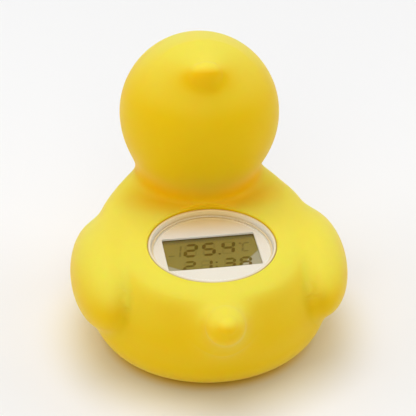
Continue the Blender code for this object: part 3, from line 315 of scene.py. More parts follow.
def finished(mesh, name, slot, finish, *nodes, body="thermometer", crisp=True):
    """Makes the mesh a piece: smooth, with a material, riding on a body and standing for CAD nodes."""
    piece = bpy.data.objects.new(name, mesh)
    bpy.context.scene.collection.objects.link(piece)
    mesh.materials.clear()
    mesh.materials.append(finish)
    mesh.shade_smooth()
    if crisp:
        mesh.set_sharp_from_angle(angle=math.radians(38))
        even = piece.modifiers.new("even shading", "WEIGHTED_NORMAL")
        even.keep_sharp = True
        even.weight = 90
    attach(piece, body)
    if nodes:
        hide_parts(*nodes)
    return piece


def combined(mesh, tools, operation):
    """Cuts closed forms out of a mesh, or joins them to it, one after another."""
    holder = bpy.data.objects.new("work", mesh)
    bpy.context.scene.collection.objects.link(holder)
    for tool in tools:
        cutter = bpy.data.objects.new("tool", tool.mesh("tool"))
        bpy.context.scene.collection.objects.link(cutter)
        modifier = holder.modifiers.new("combine", "BOOLEAN")
        modifier.solver = "EXACT"
        modifier.operation = operation
        modifier.object = cutter
        bpy.context.view_layer.update()
        shaped = holder.evaluated_get(bpy.context.evaluated_depsgraph_get())
        mesh = bpy.data.meshes.new_from_object(shaped)
        holder.modifiers.clear()
        holder.data = mesh
        bpy.data.objects.remove(cutter)
    bpy.data.objects.remove(holder)
    return mesh


# The duck's form, as a distance from its surface that is negative inside


def soft_least(first, second, blend):
    """The lesser of two distances, with a rounded valley where they are within the blend of each other."""
    near = np.maximum(blend - np.abs(first - second), 0.0) / blend
    return np.minimum(first, second) - near * near * blend / 4


def softer_least(first, second, blend):
    """The lesser of two distances, with a valley whose ends bend in without a mark."""
    near = np.maximum(blend - np.abs(first - second), 0.0) / blend
    return np.minimum(first, second) - near**3 * blend / 6


def soft_most(first, second, blend):
    """The greater of two distances, with a rounded edge."""
    return -soft_least(-first, -second, blend)


def ellipsoid(points, centre, radii, pitch=0.0):
    """Distance to an ellipsoid pitched about X: s (s - 1) over the slope of s, with s the scaled radius."""
    offset = points - np.array(centre)
    if pitch:
        cos, sin = math.cos(pitch), math.sin(pitch)
        offset = offset @ np.array(((1.0, 0.0, 0.0), (0.0, cos, -sin), (0.0, sin, cos)))
    radii = np.array(radii)
    scaled = np.linalg.norm(offset / radii, axis=-1)
    return scaled * (scaled - 1.0) / (np.linalg.norm(offset / radii**2, axis=-1) + 1e-9)


def squared_ellipsoid(points, centre, radii, squareness):
    """Distance to an ellipsoid whose upright section fills its corners as squareness grows past 2."""
    offset = points - np.array(centre)
    flat = np.hypot(offset[..., 0] / radii[0], offset[..., 1] / radii[1])
    scaled = (flat**squareness + np.abs(offset[..., 2] / radii[2]) ** squareness) ** (1 / squareness) + 1e-9
    return np.linalg.norm(offset, axis=-1) * (scaled - 1.0) / scaled


def tapered_rod(points, start, end, start_radius, end_radius):
    """Distance to a rod with round ends whose radius changes evenly from start to end."""
    start = np.array(start)
    along = np.array(end) - start
    share = np.clip((points - start) @ along / (along @ along), 0.0, 1.0)
    near = points - start - share[..., None] * along
    return np.linalg.norm(near, axis=-1) - (start_radius + (end_radius - start_radius) * share)


def ease(value):
    """Smooth step from 0 to 1."""
    share = np.clip(value, 0.0, 1.0)
    return share * share * (3.0 - 2.0 * share)


def duck_distance(points):
    """Distance to the duck's outer surface: its balls and rods, one blended into the next.

    Points are from the foot of the unit's axis. Both sides are alike, so the size of X is used.
    """
    half = points.copy()
    half[..., 0] = np.abs(points[..., 0])
    belly = squared_ellipsoid(half, (0.0, 7.5, 19.55), (43.0, 38.6, 25.25), 2.61)
    breast = ellipsoid(half, (0.0, 25.2, 31.5), (39.1, 35.9, 26.0))
    back = squared_ellipsoid(half, (0.0, 0.0, 30.6), (32.0, 32.0, 16.0), 4.0)
    found = soft_least(soft_least(belly, breast, 12.5), back, 8.0)
    found = soft_most(found, half[..., 2] - WINDOW_Z - LAND_BLEND / 4, LAND_BLEND)
    wing = ellipsoid(half, (36.7, 9.5, 27.4), (12.8, 29.3, 16.8), math.radians(-7.3))
    found = soft_least(found, wing, 3.4)
    flattened = half.copy()
    flattened[..., 1] = (half[..., 1] - NECK_Y) / NECK_DEPTH + NECK_Y
    neck = tapered_rod(flattened, (0.0, NECK_Y, 32.0), (0.0, NECK_Y, HEAD_CENTRE[2]), 17.8, 19.9)
    found = soft_least(found, NECK_DEPTH * neck, 5.0 + 9.2 * ease((half[..., 1] - 22.5) / 22.5))
    found = soft_least(found, ellipsoid(half, HEAD_CENTRE, HEAD_RADII), 10.0)
    root, bend, tip = (0.0, -30.0, 31.5), (0.0, -38.2, 37.4), (0.0, -43.2, 41.2)
    tail = soft_least(tapered_rod(half, root, bend, 9.5, 6.4), tapered_rod(half, bend, tip, 4.8, 2.4), 4.0)
    found = softer_least(found, tail, 10.0)
    narrowed = half * (0.7, 1.0, 1.0)
    tuft = tapered_rod(narrowed, (0.0, 33.5, 95.5), (0.0, 22.9, 100.0), 8.4, 3.2)
    found = softer_least(found, 0.8 * tuft, 10.0)
    found = soft_least(found, ellipsoid(half, BILL_CENTRE, BILL_RADII), 2.5)
    found = soft_least(found, ellipsoid(half, LOWER_BILL_CENTRE, LOWER_BILL_RADII), 2.5)
    return soft_most(found, -half[..., 2] - BASE_TRIM, BASE_BLEND)


def duck_slope(points):
    """Slope of the duck's distance, by small steps along X, Y and Z."""
    size = 0.02
    rises = [duck_distance(points + step) - duck_distance(points - step) for step in np.eye(3) * size]
    return np.stack(rises, axis=-1) / (2 * size)


def skin_sections(share):
    """Planes that cut the duck from its tail, at -1, to the back of its head, at 1.

    They hold the X direction. Up to 0 they slide towards a pivot in the pocket behind the head, and from
    there they turn about it. Returns each plane's origin and direction, in Y and Z.
    """
    low, turn = math.radians(-126.4), math.radians(114.0)
    angle = low + (turn - low) * np.maximum(share, 0.0)
    slide = 47.0 * np.maximum(-share, 0.0)
    origin = np.stack([PIVOT_Y + math.sin(low) * slide, PIVOT_Z - math.cos(low) * slide], axis=-1)
    return upright(origin), upright(np.stack([np.cos(angle), np.sin(angle)], axis=-1))


def upright(values):
    """Y and Z values as points of the plane x = 0."""
    return np.concatenate([np.zeros((len(values), 1)), values], axis=-1)


def skin_outline(share, depth):
    """Nearest and farthest point of the form along each plane's middle line, as distances from its origin."""
    origin, along = skin_sections(share)
    near, far = np.zeros(len(share)), np.full(len(share), 95.0)
    for _ in range(70):
        near += 0.9 * np.clip(duck_distance(origin + along * near[:, None]) + depth, -5, 20)
        far -= 0.9 * np.clip(duck_distance(origin + along * far[:, None]) + depth, -5, 20)
    return near, far


def skin_rings(depth, rows, columns):
    """Rings of the surface that lies depth inside the duck's form, and its two pole points.

    Ring i is where section plane i meets the form, and point j lies at angle j round the section's middle,
    found by stepping along its ray until the distance is nought. The rings are evenly spaced by the
    length of the outline. Then the points slide evenly apart along the surface, which keeps its shape.
    """
    share = np.linspace(-1.0, 1.0, 2400)
    near, far = skin_outline(share, depth)
    inside = np.nonzero(far - near > 0.05)[0]
    share, near, far = (values[inside[0] : inside[-1] + 1] for values in (share, near, far))
    origin, along = skin_sections(share)
    moves = [np.diff(origin + along * reach[:, None], axis=0) for reach in (near, far)]
    step = sum(np.linalg.norm(move, axis=-1) for move in moves) / 2
    length = np.concatenate([[0.0], np.cumsum(np.minimum(step, 0.6))])
    share = np.interp((np.arange(rows) + 0.5) / rows * length[-1], length, share)
    origin, along = skin_sections(share)
    near, far = skin_outline(share, depth)
    middle = (near + far) / 2
    centre = (origin + along * middle[:, None])[:, None]
    turn = angles(columns)
    ray = np.cos(turn)[:, None] * np.array((1.0, 0.0, 0.0)) + np.sin(turn)[:, None] * along[:, None]
    reach = np.minimum(62.0, middle[:, None] / np.maximum(-np.sin(turn), 1e-3))
    for _ in range(30):
        miss = duck_distance(centre + ray * reach[..., None]) + depth
        reach = np.maximum(reach - np.clip(0.85 * miss, -1.0, 12), 0.01)
    rings = centre + ray * reach[..., None]
    slope = duck_slope(rings)
    for _ in range(6):
        ends = [ring.mean(axis=1, keepdims=True).repeat(columns, axis=1) for ring in (rings[:1], rings[-1:])]
        padded = np.concatenate([ends[0], rings, ends[1]])
        around = padded[:-2] + padded[2:] + np.roll(rings, 1, axis=1) + np.roll(rings, -1, axis=1)
        pull = around / 4 - rings
        normal = slope / np.linalg.norm(slope, axis=-1, keepdims=True)
        rings = rings + 0.8 * (pull - (pull * normal).sum(axis=-1, keepdims=True) * normal)
        slope = duck_slope(rings)
        steep = np.maximum((slope * slope).sum(axis=-1), 0.2)
        miss = np.clip((duck_distance(rings) + depth) / steep, -1.5, 1.5)
        rings = rings - miss[..., None] * slope
    rings[..., 2] = np.maximum(rings[..., 2], depth)
    rings[..., 1] += AXIS_Y
    return rings[:, ::-1], (rings[0].mean(axis=0), rings[-1].mean(axis=0))


def window_edge_height(turn, radius):
    """Height of the duck's back at a radius about the unit's axis, found by stepping down and up."""
    points = np.stack([radius * np.cos(turn), radius * np.sin(turn), np.full(turn.shape, WINDOW_Z)], axis=-1)
    for _ in range(40):
        points[..., 2] -= 0.7 * duck_distance(points)
    return np.minimum(points[..., 2], WINDOW_Z + 1.2)


def unit_bay(sides, edge):
    """The space that the unit takes out of the duck, with a rounded mouth at the window and the base.

    Each ring has a radius and a height that may change with the angle round, because the window's edge
    follows the height of the duck's back. The rounding shrinks where the neck rises from the window.
    """
    turn = angles(sides)
    front = np.abs(np.angle(np.exp(1j * (turn - math.pi / 2))))
    rounding = edge * (0.15 + 0.85 * ease((front - 0.2) / 0.3))
    window = WINDOW_RADIUS + 0.06
    bend = np.radians(np.linspace(75.0, 0.0, 6))[:, None]
    top = window_edge_height(turn, window + 0.74 * rounding)
    mouth_radius = window + rounding * (1 - np.cos(bend))
    mouth_height = top - rounding * (1 - np.sin(bend))
    bay = HOUSING_RADIUS + 0.6
    hole = NOSE_RADIUS + 0.3
    below = [
        (window, WINDOW_Z - SKIN_WALL), (bay, WINDOW_Z - SKIN_WALL), (bay, 7.2),
        (NOSE_RADIUS + 2.8, SKIN_WALL), (hole, SKIN_WALL), (hole, 0.5), (hole + 0.15, 0.15),
        (hole + 0.5, 0.0), (hole + 0.5, -4.0),
    ]
    below = np.array(below)[..., None] * np.ones(sides)
    radius = np.concatenate([mouth_radius[:1], mouth_radius, below[:, 0]])
    height = np.concatenate([np.full((1, sides), WINDOW_Z + 4), mouth_height, below[:, 1]])
    rings = np.stack([radius * np.cos(turn), AXIS_Y + radius * np.sin(turn), height], axis=-1)
    return Form().add(rings, [(0.0, AXIS_Y, height[0, 0]), (0.0, AXIS_Y, height[-1, 0])])


def shade_skin(mesh):
    """Gives the outer surface the normals of the duck's form, so that it shades without facets."""
    corners = np.empty(len(mesh.loops), dtype=np.int64)
    mesh.loops.foreach_get("vertex_index", corners)
    places = np.empty(len(mesh.vertices) * 3)
    mesh.vertices.foreach_get("co", places)
    places = places.reshape(-1, 3) / MM - (0.0, AXIS_Y, 0.0)
    sizes = np.empty(len(mesh.polygons), dtype=np.int64)
    mesh.polygons.foreach_get("loop_total", sizes)
    faces = np.empty(len(mesh.polygons) * 3)
    mesh.polygons.foreach_get("normal", faces)
    faces = faces.reshape(-1, 3).repeat(sizes, axis=0)
    slope = duck_slope(places)
    slope /= np.linalg.norm(slope, axis=-1, keepdims=True)
    outer = (np.abs(duck_distance(places)) < 0.1)[corners]
    outer &= (slope[corners] * faces).sum(axis=-1) > 0.8
    mesh.normals_split_custom_set(np.where(outer[:, None], slope[corners], 0.0).tolist())


# Shader nodes


class Value:
    """A shader socket. Python's operators on it add Math nodes."""

    def __init__(self, finish, socket):
        self.finish, self.socket = finish, socket

    def worked(self, operation, first, second=None):
        """A Math node of the operation on one or two values."""
        values = {0: first} if second is None else {0: first, 1: second}
        return self.finish.node("ShaderNodeMath", {"operation": operation}, values)

    def __add__(self, other):
        return self.worked("ADD", self, other)

    def __sub__(self, other):
        return self.worked("SUBTRACT", self, other)

    def __rsub__(self, other):
        return self.worked("SUBTRACT", other, self)

    def __mul__(self, other):
        return self.worked("MULTIPLY", self, other)

    def __truediv__(self, other):
        return self.worked("DIVIDE", self, other)

    def __pow__(self, other):
        return self.worked("POWER", self, other)

    __radd__, __rmul__ = __add__, __mul__

    def most(self, other):
        """The greater of the two."""
        return self.worked("MAXIMUM", self, other)

    def size(self):
        """The value without its sign."""
        return self.worked("ABSOLUTE", self)

    def sine(self):
        """The sine of the value in radians."""
        return self.worked("SINE", self)

    def step(self, low, high):
        """Rises smoothly from 0 at low to 1 at high, and falls where low is the greater."""
        settings = {"interpolation_type": "SMOOTHSTEP"}
        if low < high:
            return self.finish.node("ShaderNodeMapRange", settings, {0: self, 1: low, 2: high})
        return 1 - self.finish.node("ShaderNodeMapRange", settings, {0: self, 1: high, 2: low})


class Finish:
    """A material that is being made from nodes."""

    def __init__(self, name, **constants):
        self.material = bpy.data.materials.new(name)
        self.material.use_nodes = True
        self.tree = self.material.node_tree
        self.shader = self.tree.nodes["Principled BSDF"]
        for socket, value in constants.items():
            self.set(socket.replace("_", " "), value)

    def set(self, socket, value):
        """Sets or links a socket of the shader."""
        self.fill(self.shader.inputs[socket], value)

    def fill(self, socket, value):
        """Puts a number, a colour or another node's output into a socket."""
        if isinstance(value, Value):
            self.tree.links.new(value.socket, socket)
        elif hasattr(socket.default_value, "__len__") and len(socket.default_value) == 4:
            socket.default_value = (*tuple(value)[:3], 1.0)
        else:
            socket.default_value = value

    def node(self, kind, settings=None, values=None, output=0):
        """Adds a node: its settings first, then the values or links of its sockets."""
        made = self.tree.nodes.new(kind)
        for name, value in (settings or {}).items():
            setattr(made, name, value)
        for name, value in (values or {}).items():
            self.fill(made.inputs[name], value)
        return Value(self, made.outputs[output])

    def place(self):
        """Object coordinates in millimetres."""
        place = self.node("ShaderNodeTexCoord", output="Object")
        return self.vector("MULTIPLY", place, (1 / MM,) * 3)

    def axes(self, vector):
        """The three numbers of a vector."""
        return [self.node("ShaderNodeSeparateXYZ", None, {0: vector}, output=axis) for axis in range(3)]

    def vector(self, operation, first, second=None, output=0):
        """A Vector Math node."""
        values = {0: first} if second is None else {0: first, 1: second}
        return self.node("ShaderNodeVectorMath", {"operation": operation}, values, output)

    def noise(self, size, detail=2.0, roughness=0.5):
        """Noise whose lumps are about the given size across."""
        values = {"Vector": self.place(), "Scale": 1.0 / size, "Detail": detail, "Roughness": roughness}
        return self.node("ShaderNodeTexNoise", None, values)

    def mix(self, share, first, second):
        """One colour turning into another."""
        settings = {"data_type": "RGBA", "clamp_factor": True}
        return self.node("ShaderNodeMix", settings, {0: share, 6: first, 7: second}, output=2)

    def bump(self, height, distance):
        """Raises the surface by height times distance in its normals."""
        values = {"Height": height, "Distance": distance * MM}
        self.set("Normal", self.node("ShaderNodeBump", None, values))
        return self


def darker(colour, share):
    """The colour times the share."""
    return tuple(value * share for value in tuple(colour)[:3])


def moulded(name, colour, roughness, grain=0.25, depth=0.01, tint=None):
    """Moulded plastic or rubber: a faint cloudiness, a fine grain and slight changes of gloss."""
    finish = Finish(name)
    cloud = finish.noise(9, 3.0)
    speck = finish.noise(grain, 2.0)
    clouded = finish.mix(cloud * 0.7 + speck * 0.3, darker(colour, 0.96), darker(colour, 1.03))
    finish.set("Base Color", tint(finish, clouded) if tint else clouded)
    finish.set("Roughness", roughness + (cloud - 0.5) * 0.12 + (speck - 0.5) * 0.08)
    return finish.bump(speck, depth).material


def metal(name, colour, roughness, centre=None):
    """Drawn or turned metal: fine lines round the centre where there is one, else a fine streaky grain."""
    finish = Finish(name, Metallic=1.0)
    place = finish.place()
    if centre is None:
        lines = finish.noise(0.3, 3.0)
    else:
        x, y, _ = finish.axes(finish.vector("SUBTRACT", place, (centre[0], centre[1] + AXIS_Y, 0.0)))
        radius = (x * x + y * y) ** 0.5
        lines = (radius * (2 * math.pi / 0.12) + finish.noise(1) * 9).sine() * 0.5 + 0.5
    cloud = finish.noise(1.5, 4.0)
    finish.set("Base Color", finish.mix(cloud, darker(colour, 0.88), colour))
    finish.set("Roughness", roughness + lines * 0.1 + (cloud - 0.5) * 0.08)
    return finish.bump(lines, 0.004).material


def vinyl(settings):
    """Soft vinyl with a fine grain and painted light, paler where it faces up as if lit from above, with a
    painted bill and painted eyes.

    The paint covers what lies in ovals just round the two halves of the bill and the eyes. The pocket between
    the window and the neck is painted a deeper orange, a painted bounce light that stands for vinyl lighting
    vinyl.
    """
    finish = Finish("soft_yellow_vinyl", IOR=1.5, Specular_IOR_Level=0.1)
    finish.set("Sheen Weight", 0.12)
    finish.set("Sheen Roughness", 0.35)
    finish.set("Subsurface Weight", 0.6)
    finish.set("Subsurface Radius", (1.0, 0.45, 0.06))
    finish.set("Subsurface Scale", 5 * MM)
    place = finish.place()
    x, y, z = finish.axes(place)
    cloud = finish.noise(22, 3.0)
    fine = finish.noise(settings.grain / MM, 3.0, 0.6)
    up = finish.axes(finish.node("ShaderNodeNewGeometry", output="Normal"))[2]
    # Painted light: up-facing vinyl is painted paler, as if lit from above; the head stays deep yellow on
    # steeper slopes than the body does
    body, head = up.step(0.0, 0.95), up.step(0.33, 0.98)
    share = body + (head - body) * z.step(50, 64)
    share = share + (cloud - 0.5) * 0.12 + (fine - 0.5) * 0.05

    def scaled(centre, radii, mirrored=False):
        """Distance from an oval's centre in its own radii, and from its twin's too where mirrored."""
        at = finish.node("ShaderNodeCombineXYZ", None, {0: x.size() if mirrored else x, 1: y, 2: z})
        offset = finish.vector("SUBTRACT", at, (centre[0], centre[1] + AXIS_Y, centre[2]))
        return finish.vector("LENGTH", finish.vector("DIVIDE", offset, tuple(radii)), output="Value")

    # Painted bounce light: the pocket between the window and the neck is painted deeper orange, standing for
    # light thrown from vinyl to vinyl
    painted_bounce_pocket = scaled((0.0, 31.0, 48.0), (30.0, 14.0, 17.0)).step(1.2, 0.5)
    painted_shade_colour = finish.mix(painted_bounce_pocket, settings.painted_shade_colour, (0.95, 0.52, 0.001))
    # Painted light: the lit colour where the vinyl faces up, the shaded colour elsewhere and in the pocket
    colour = finish.mix(share * (1 - painted_bounce_pocket * 0.9), painted_shade_colour, settings.painted_lit_colour)
    upper = scaled(BILL_CENTRE, BILL_RADII * (1.05, 1.05, 1.15)).step(1.02, 1.0)
    lower = scaled(LOWER_BILL_CENTRE, LOWER_BILL_RADII * (1.06, 1.06, 1.2)).step(1.02, 1.0)
    bill = upper.most(lower)
    colour = finish.mix(bill, colour, settings.bill_colour)
    eye = scaled(EYE_CENTRE, EYE_RADII, True).step(1.03, 1.0)
    finish.set("Base Color", finish.mix(eye, colour, settings.eye_colour))
    rough = 0.5 + (cloud - 0.5) * 0.1 + (fine - 0.5) * 0.12
    finish.set("Roughness", rough * (1 - bill * 0.25 - eye * 0.55))
    height = fine * 0.6 + finish.noise(6, 1.0) * 2.5
    return finish.bump(height, 0.012).material


def clear_plastic(name, tint, gloss_roughness):
    """A clear moulding: it lets light through and mirrors by its angle, more at a glance."""
    finish = Finish(name)
    nodes, links = finish.tree.nodes, finish.tree.links
    nodes.remove(finish.shader)
    through = finish.node("ShaderNodeBsdfTransparent", None, {0: tint})
    haze = finish.noise(4, 3.0)
    gloss = {"Color": (1.0, 1.0, 1.0), "Roughness": gloss_roughness}
    mirror = finish.node("ShaderNodeBsdfGlossy", None, gloss)
    facing = finish.node("ShaderNodeLayerWeight", None, {"Blend": 0.5}, output="Facing")
    share = (0.022 + facing**5 * 0.9) * (0.95 + haze * 0.05)
    mixed = finish.node("ShaderNodeMixShader", None, {0: share})
    links.new(through.socket, mixed.socket.node.inputs[1])
    links.new(mirror.socket, mixed.socket.node.inputs[2])
    links.new(mixed.socket, nodes["Material Output"].inputs[0])
    return finish.material


def display_coordinates(finish, turn):
    """Places across and up the display from its middle, turned with it."""
    x, y, _ = finish.axes(finish.place())
    y = y - AXIS_Y
    cos, sin = math.cos(turn), math.sin(turn)
    return x * cos + y * sin, y * cos - x * sin


def face_painted_light(finish, white):
    """Painted light on the white plastic: a warm yellow cast on the rim, more so towards the neck, standing
    for light thrown from the yellow vinyl, and a brown painted shade at the window's outer edge.
    """
    x, y, z = finish.axes(finish.place())
    y = y - AXIS_Y
    radius = (x * x + y * y) ** 0.5
    rim = z.step(WINDOW_Z - 0.5, WINDOW_Z - 0.1)
    colour = finish.mix(rim * 0.7, white, (0.74, 0.66, 0.46))
    colour = finish.mix(y.step(9, 23), colour, (0.9, 0.7, 0.33))
    # Painted shade: a brown line at the window's outer edge, where the rim meets the vinyl
    edge = radius.step(WINDOW_RADIUS - 0.4, WINDOW_RADIUS - 0.1)
    return finish.mix(edge * 0.7, colour, (0.5, 0.34, 0.12))


def display_film(settings):
    """The display's film: olive with painted shade along its top, under the face plate's lip, and paler glass
    where its lower corners are cut.
    """
    finish = Finish("display_glass", IOR=1.5)
    across, up = display_coordinates(finish, settings.turn)
    cloud = finish.noise(5, 3.0)
    fine = finish.noise(0.25, 2.0)
    shades = [darker(settings.field_colour, share) for share in (0.9, 1.1)]
    field = finish.mix(cloud * 0.6 + fine * 0.4, *shades)
    # Painted shade: the film darkens along its top, where the face plate's lip shades it
    top = up.step(7.0, 9.6)
    colour = finish.mix(top, field, darker(settings.field_colour, 0.5))
    right = (across * 0.74 - up * 0.67).step(11.7, 12.3)
    left = (across * -0.56 - up * 0.83).step(12.9, 13.5)
    colour = finish.mix(right.most(left), colour, (0.38, 0.37, 0.28))
    finish.set("Base Color", colour)
    finish.set("Roughness", 0.3 + cloud * 0.1)
    return finish.material


# Pieces


class THERMOMETER_OT_duck_skin(bpy.types.Operator):
    """Builds the hollow vinyl duck with the unit's bay cut out of it"""

    bl_idname = "thermometer.duck_skin"
    bl_label = "Duck skin"

    def execute(self, context):
        settings = context.scene.thermometer_skin
        form = Form().add(*skin_rings(0.0, settings.rings, settings.sides))
        inner, poles = skin_rings(SKIN_WALL, settings.rings // 3, settings.sides // 3)
        form.add(inner[:, ::-1], poles)
        mesh = combined(form.mesh("duck_skin"), [unit_bay(settings.sides, settings.edge / MM)], "DIFFERENCE")
        finished(mesh, "vinyl_duck", "soft_yellow_vinyl", vinyl(settings), "duck_skin", crisp=False)
        mesh.set_sharp_from_angle(angle=math.radians(50))
        shade_skin(mesh)
        return {"FINISHED"}


def display_window(turn, sides):
    """Radius of the display's window at each angle round the unit's axis.

    The window is a rectangle turned with the display. Its four sides are joined by a high power mean,
    which rounds the corners a little.
    """
    angle = angles(sides) - turn
    across = np.abs(np.cos(angle)) / DISPLAY_HALF_WIDTH
    above, below = DISPLAY_HALF_HEIGHT + DISPLAY_Y, DISPLAY_HALF_HEIGHT - DISPLAY_Y
    up = np.maximum(np.sin(angle) / above, -np.sin(angle) / below)
    return (across**60 + up**60) ** (-1 / 60)


def face_rings(profile, turn, sides, inner, outer):
    """Rings of the housing's top, round outside and inside the outer radius ever more the window's shape.

    There a profile radius becomes outer less (outer less radius) times (outer less window) over (outer
    less inner), where window is the window's own radius at that angle.
    """
    rings = turned(profile, sides)
    window = display_window(turn, sides)
    radius = profile[:, :1] * np.ones(sides)
    within = outer - (outer - radius) * (outer - window) / (outer - inner)
    radius = np.where(radius < outer, within, radius)
    angle = angles(sides)
    rings[..., 0] = radius * np.cos(angle)
    rings[..., 1] = AXIS_Y + radius * np.sin(angle)
    return rings


class THERMOMETER_OT_upper_housing(bpy.types.Operator):
    """Builds the white rim, the stepped recess, the face plate and what is under them"""

    bl_idname = "thermometer.upper_housing"
    bl_label = "Upper housing"

    def execute(self, context):
        settings = context.scene.thermometer_housing
        display = context.scene.thermometer_display
        ledge = SEAL_LOW.z - 0.3
        face = ledge - 0.5
        under = face - 0.8
        step = LENS_RADIUS - 0.7
        bore = LENS_RADIUS + 0.3
        shell = HOUSING_RADIUS - 1.6
        cut = 13.0
        corners = [
            (cut, under, 0.0), (cut, face, 0.45), (step, face, 0.15), (step, ledge, 0.12),
            (bore, ledge, 0.15), (bore, WINDOW_Z, 0.3), (WINDOW_RADIUS, WINDOW_Z, 0.3),
            (WINDOW_RADIUS, UPPER_HIGH.z - 2.3, 0.2), (HOUSING_RADIUS, UPPER_HIGH.z - 2.3, 0.5),
            (HOUSING_RADIUS, UPPER_LOW.z + 0.7, 0.2), (shell, UPPER_LOW.z + 0.7, 0.2), (shell, under, 0.5),
        ]
        sides = 2 * settings.sides
        form = Form().add(face_rings(rounded(corners), display.turn, sides, cut, step))
        deck_top, deck_foot = 31.4, 30.0
        rim = shell + 0.4
        deck = [(0.0, deck_top, 0.0), (rim, deck_top, 0.0), (rim, deck_foot, 0.0), (0.0, deck_foot, 0.0)]
        turned_solid(form, deck, settings.sides)
        top, foot = deck_foot + 0.5, UPPER_LOW.z
        boss = [(0.0, top, 0.0), (BOSS_RADIUS, top, 0.0), (BOSS_RADIUS, foot, 0.3), (0.0, foot, 0.0)]
        for centre in HOUSING_SCREWS:
            turned_solid(form, boss, 24, centre)
        # The face's white plastic carries painted light and painted shade from the vinyl round it
        finish = moulded("white_plastic", settings.colour, 0.38, tint=face_painted_light)
        finished(form.mesh("upper_housing"), "face_and_rim", "white_plastic", finish, "upper_housing")
        return {"FINISHED"}


class THERMOMETER_OT_lens(bpy.types.Operator):
    """Builds the clear lens and the seal under it"""

    bl_idname = "thermometer.lens"
    bl_label = "Lens and seal"

    def execute(self, context):
        sides = context.scene.thermometer_housing.sides
        corners = [
            (0.0, WINDOW_Z, 0.0), (LENS_RADIUS - 0.3, WINDOW_Z, 0.1), (LENS_RADIUS, WINDOW_Z - 0.3, 0.1),
            (LENS_RADIUS, LENS_LOW.z, 0.1), (0.0, LENS_LOW.z, 0.0),
        ]
        form = turned_solid(Form(), corners, sides)
        finish = clear_plastic("clear_lens", (0.995, 0.995, 0.99), 0.05)
        finished(form.mesh("window_lens"), "clear_window", "clear_lens", finish, "window_lens")
        inner = LENS_RADIUS - 0.6
        ring = [
            (inner, SEAL_HIGH.z, 0.1), (LENS_RADIUS, SEAL_HIGH.z, 0.1), (LENS_RADIUS, SEAL_LOW.z, 0.1),
            (inner, SEAL_LOW.z, 0.1),
        ]
        form = turned_ring(Form(), ring, sides)
        finish = moulded("seal_rubber", (0.8, 0.68, 0.46), 0.6)
        finished(form.mesh("lens_seal"), "window_seal", "seal_rubber", finish, "lens_seal")
        return {"FINISHED"}


def rectangle_rings(half_width, half_height, levels, sides, turn, centre_up):
    """Rings of a block, with an inset and a height at each level and sides joined by a high power mean."""
    angle = angles(sides)
    inset, height = np.array(levels).T[..., None]
    across, up = np.abs(np.cos(angle)) / (half_width - inset), np.abs(np.sin(angle)) / (half_height - inset)
    radius = (across**80 + up**80) ** (-1 / 80)
    across, up = radius * np.cos(angle), centre_up + radius * np.sin(angle)
    return turned_about_axis(across, up, height, turn)


def turned_about_axis(across, up, height, turn):
    """Points of the display's own plane as points of the part."""
    cos, sin = math.cos(turn), math.sin(turn)
    x, y = across * cos - up * sin, across * sin + up * cos + AXIS_Y
    return np.stack(np.broadcast_arrays(x, y, height), axis=-1)


# Middle of each bar of a figure and whether it stands, in halves of the figure's width and height
BARS = {
    "a": (0, 2, False),
    "b": (1, 1, True),
    "c": (1, -1, True),
    "d": (0, -2, False),
    "e": (-1, -1, True),
    "f": (-1, 1, True),
    "g": (0, 0, False),
}


def bar_outlines(figure, middle, size, thick):
    """Outlines of a figure's bars: hexagons whose pointed ends nearly meet, leaned over by the slant."""
    width, height = size
    outlines = []
    for bar in FIGURES[figure]:
        across, up, standing = BARS[bar]
        length = (height if standing else 2 * width) / 4 - 0.12 * thick
        half = thick / 2
        along = np.array((-length, half - length, length - half, length, length - half, half - length))
        side = np.array((0.0, -half, -half, 0.0, half, half))
        x, y = (-side, along) if standing else (along, side)
        x = x + across * (width / 2)
        y = y + up * (height / 4)
        outlines.append(np.stack([middle[0] + x + SLANT * y, middle[1] + y], axis=-1))
    return outlines


def dot_outline(middle, radius):
    """A small round dot of twelve sides."""
    angle = angles(12)
    return np.stack([middle[0] + radius * np.cos(angle), middle[1] + radius * np.sin(angle)], axis=-1)


def prisms(outlines, low, high, turn):
    """Flat prisms of the outlines, each with its middle as pole points."""
    form = Form()
    for outline in outlines:
        height = np.array((high, low))[:, None]
        form.add_block(turned_about_axis(outline[None, :, 0], outline[None, :, 1], height, turn))
    return form


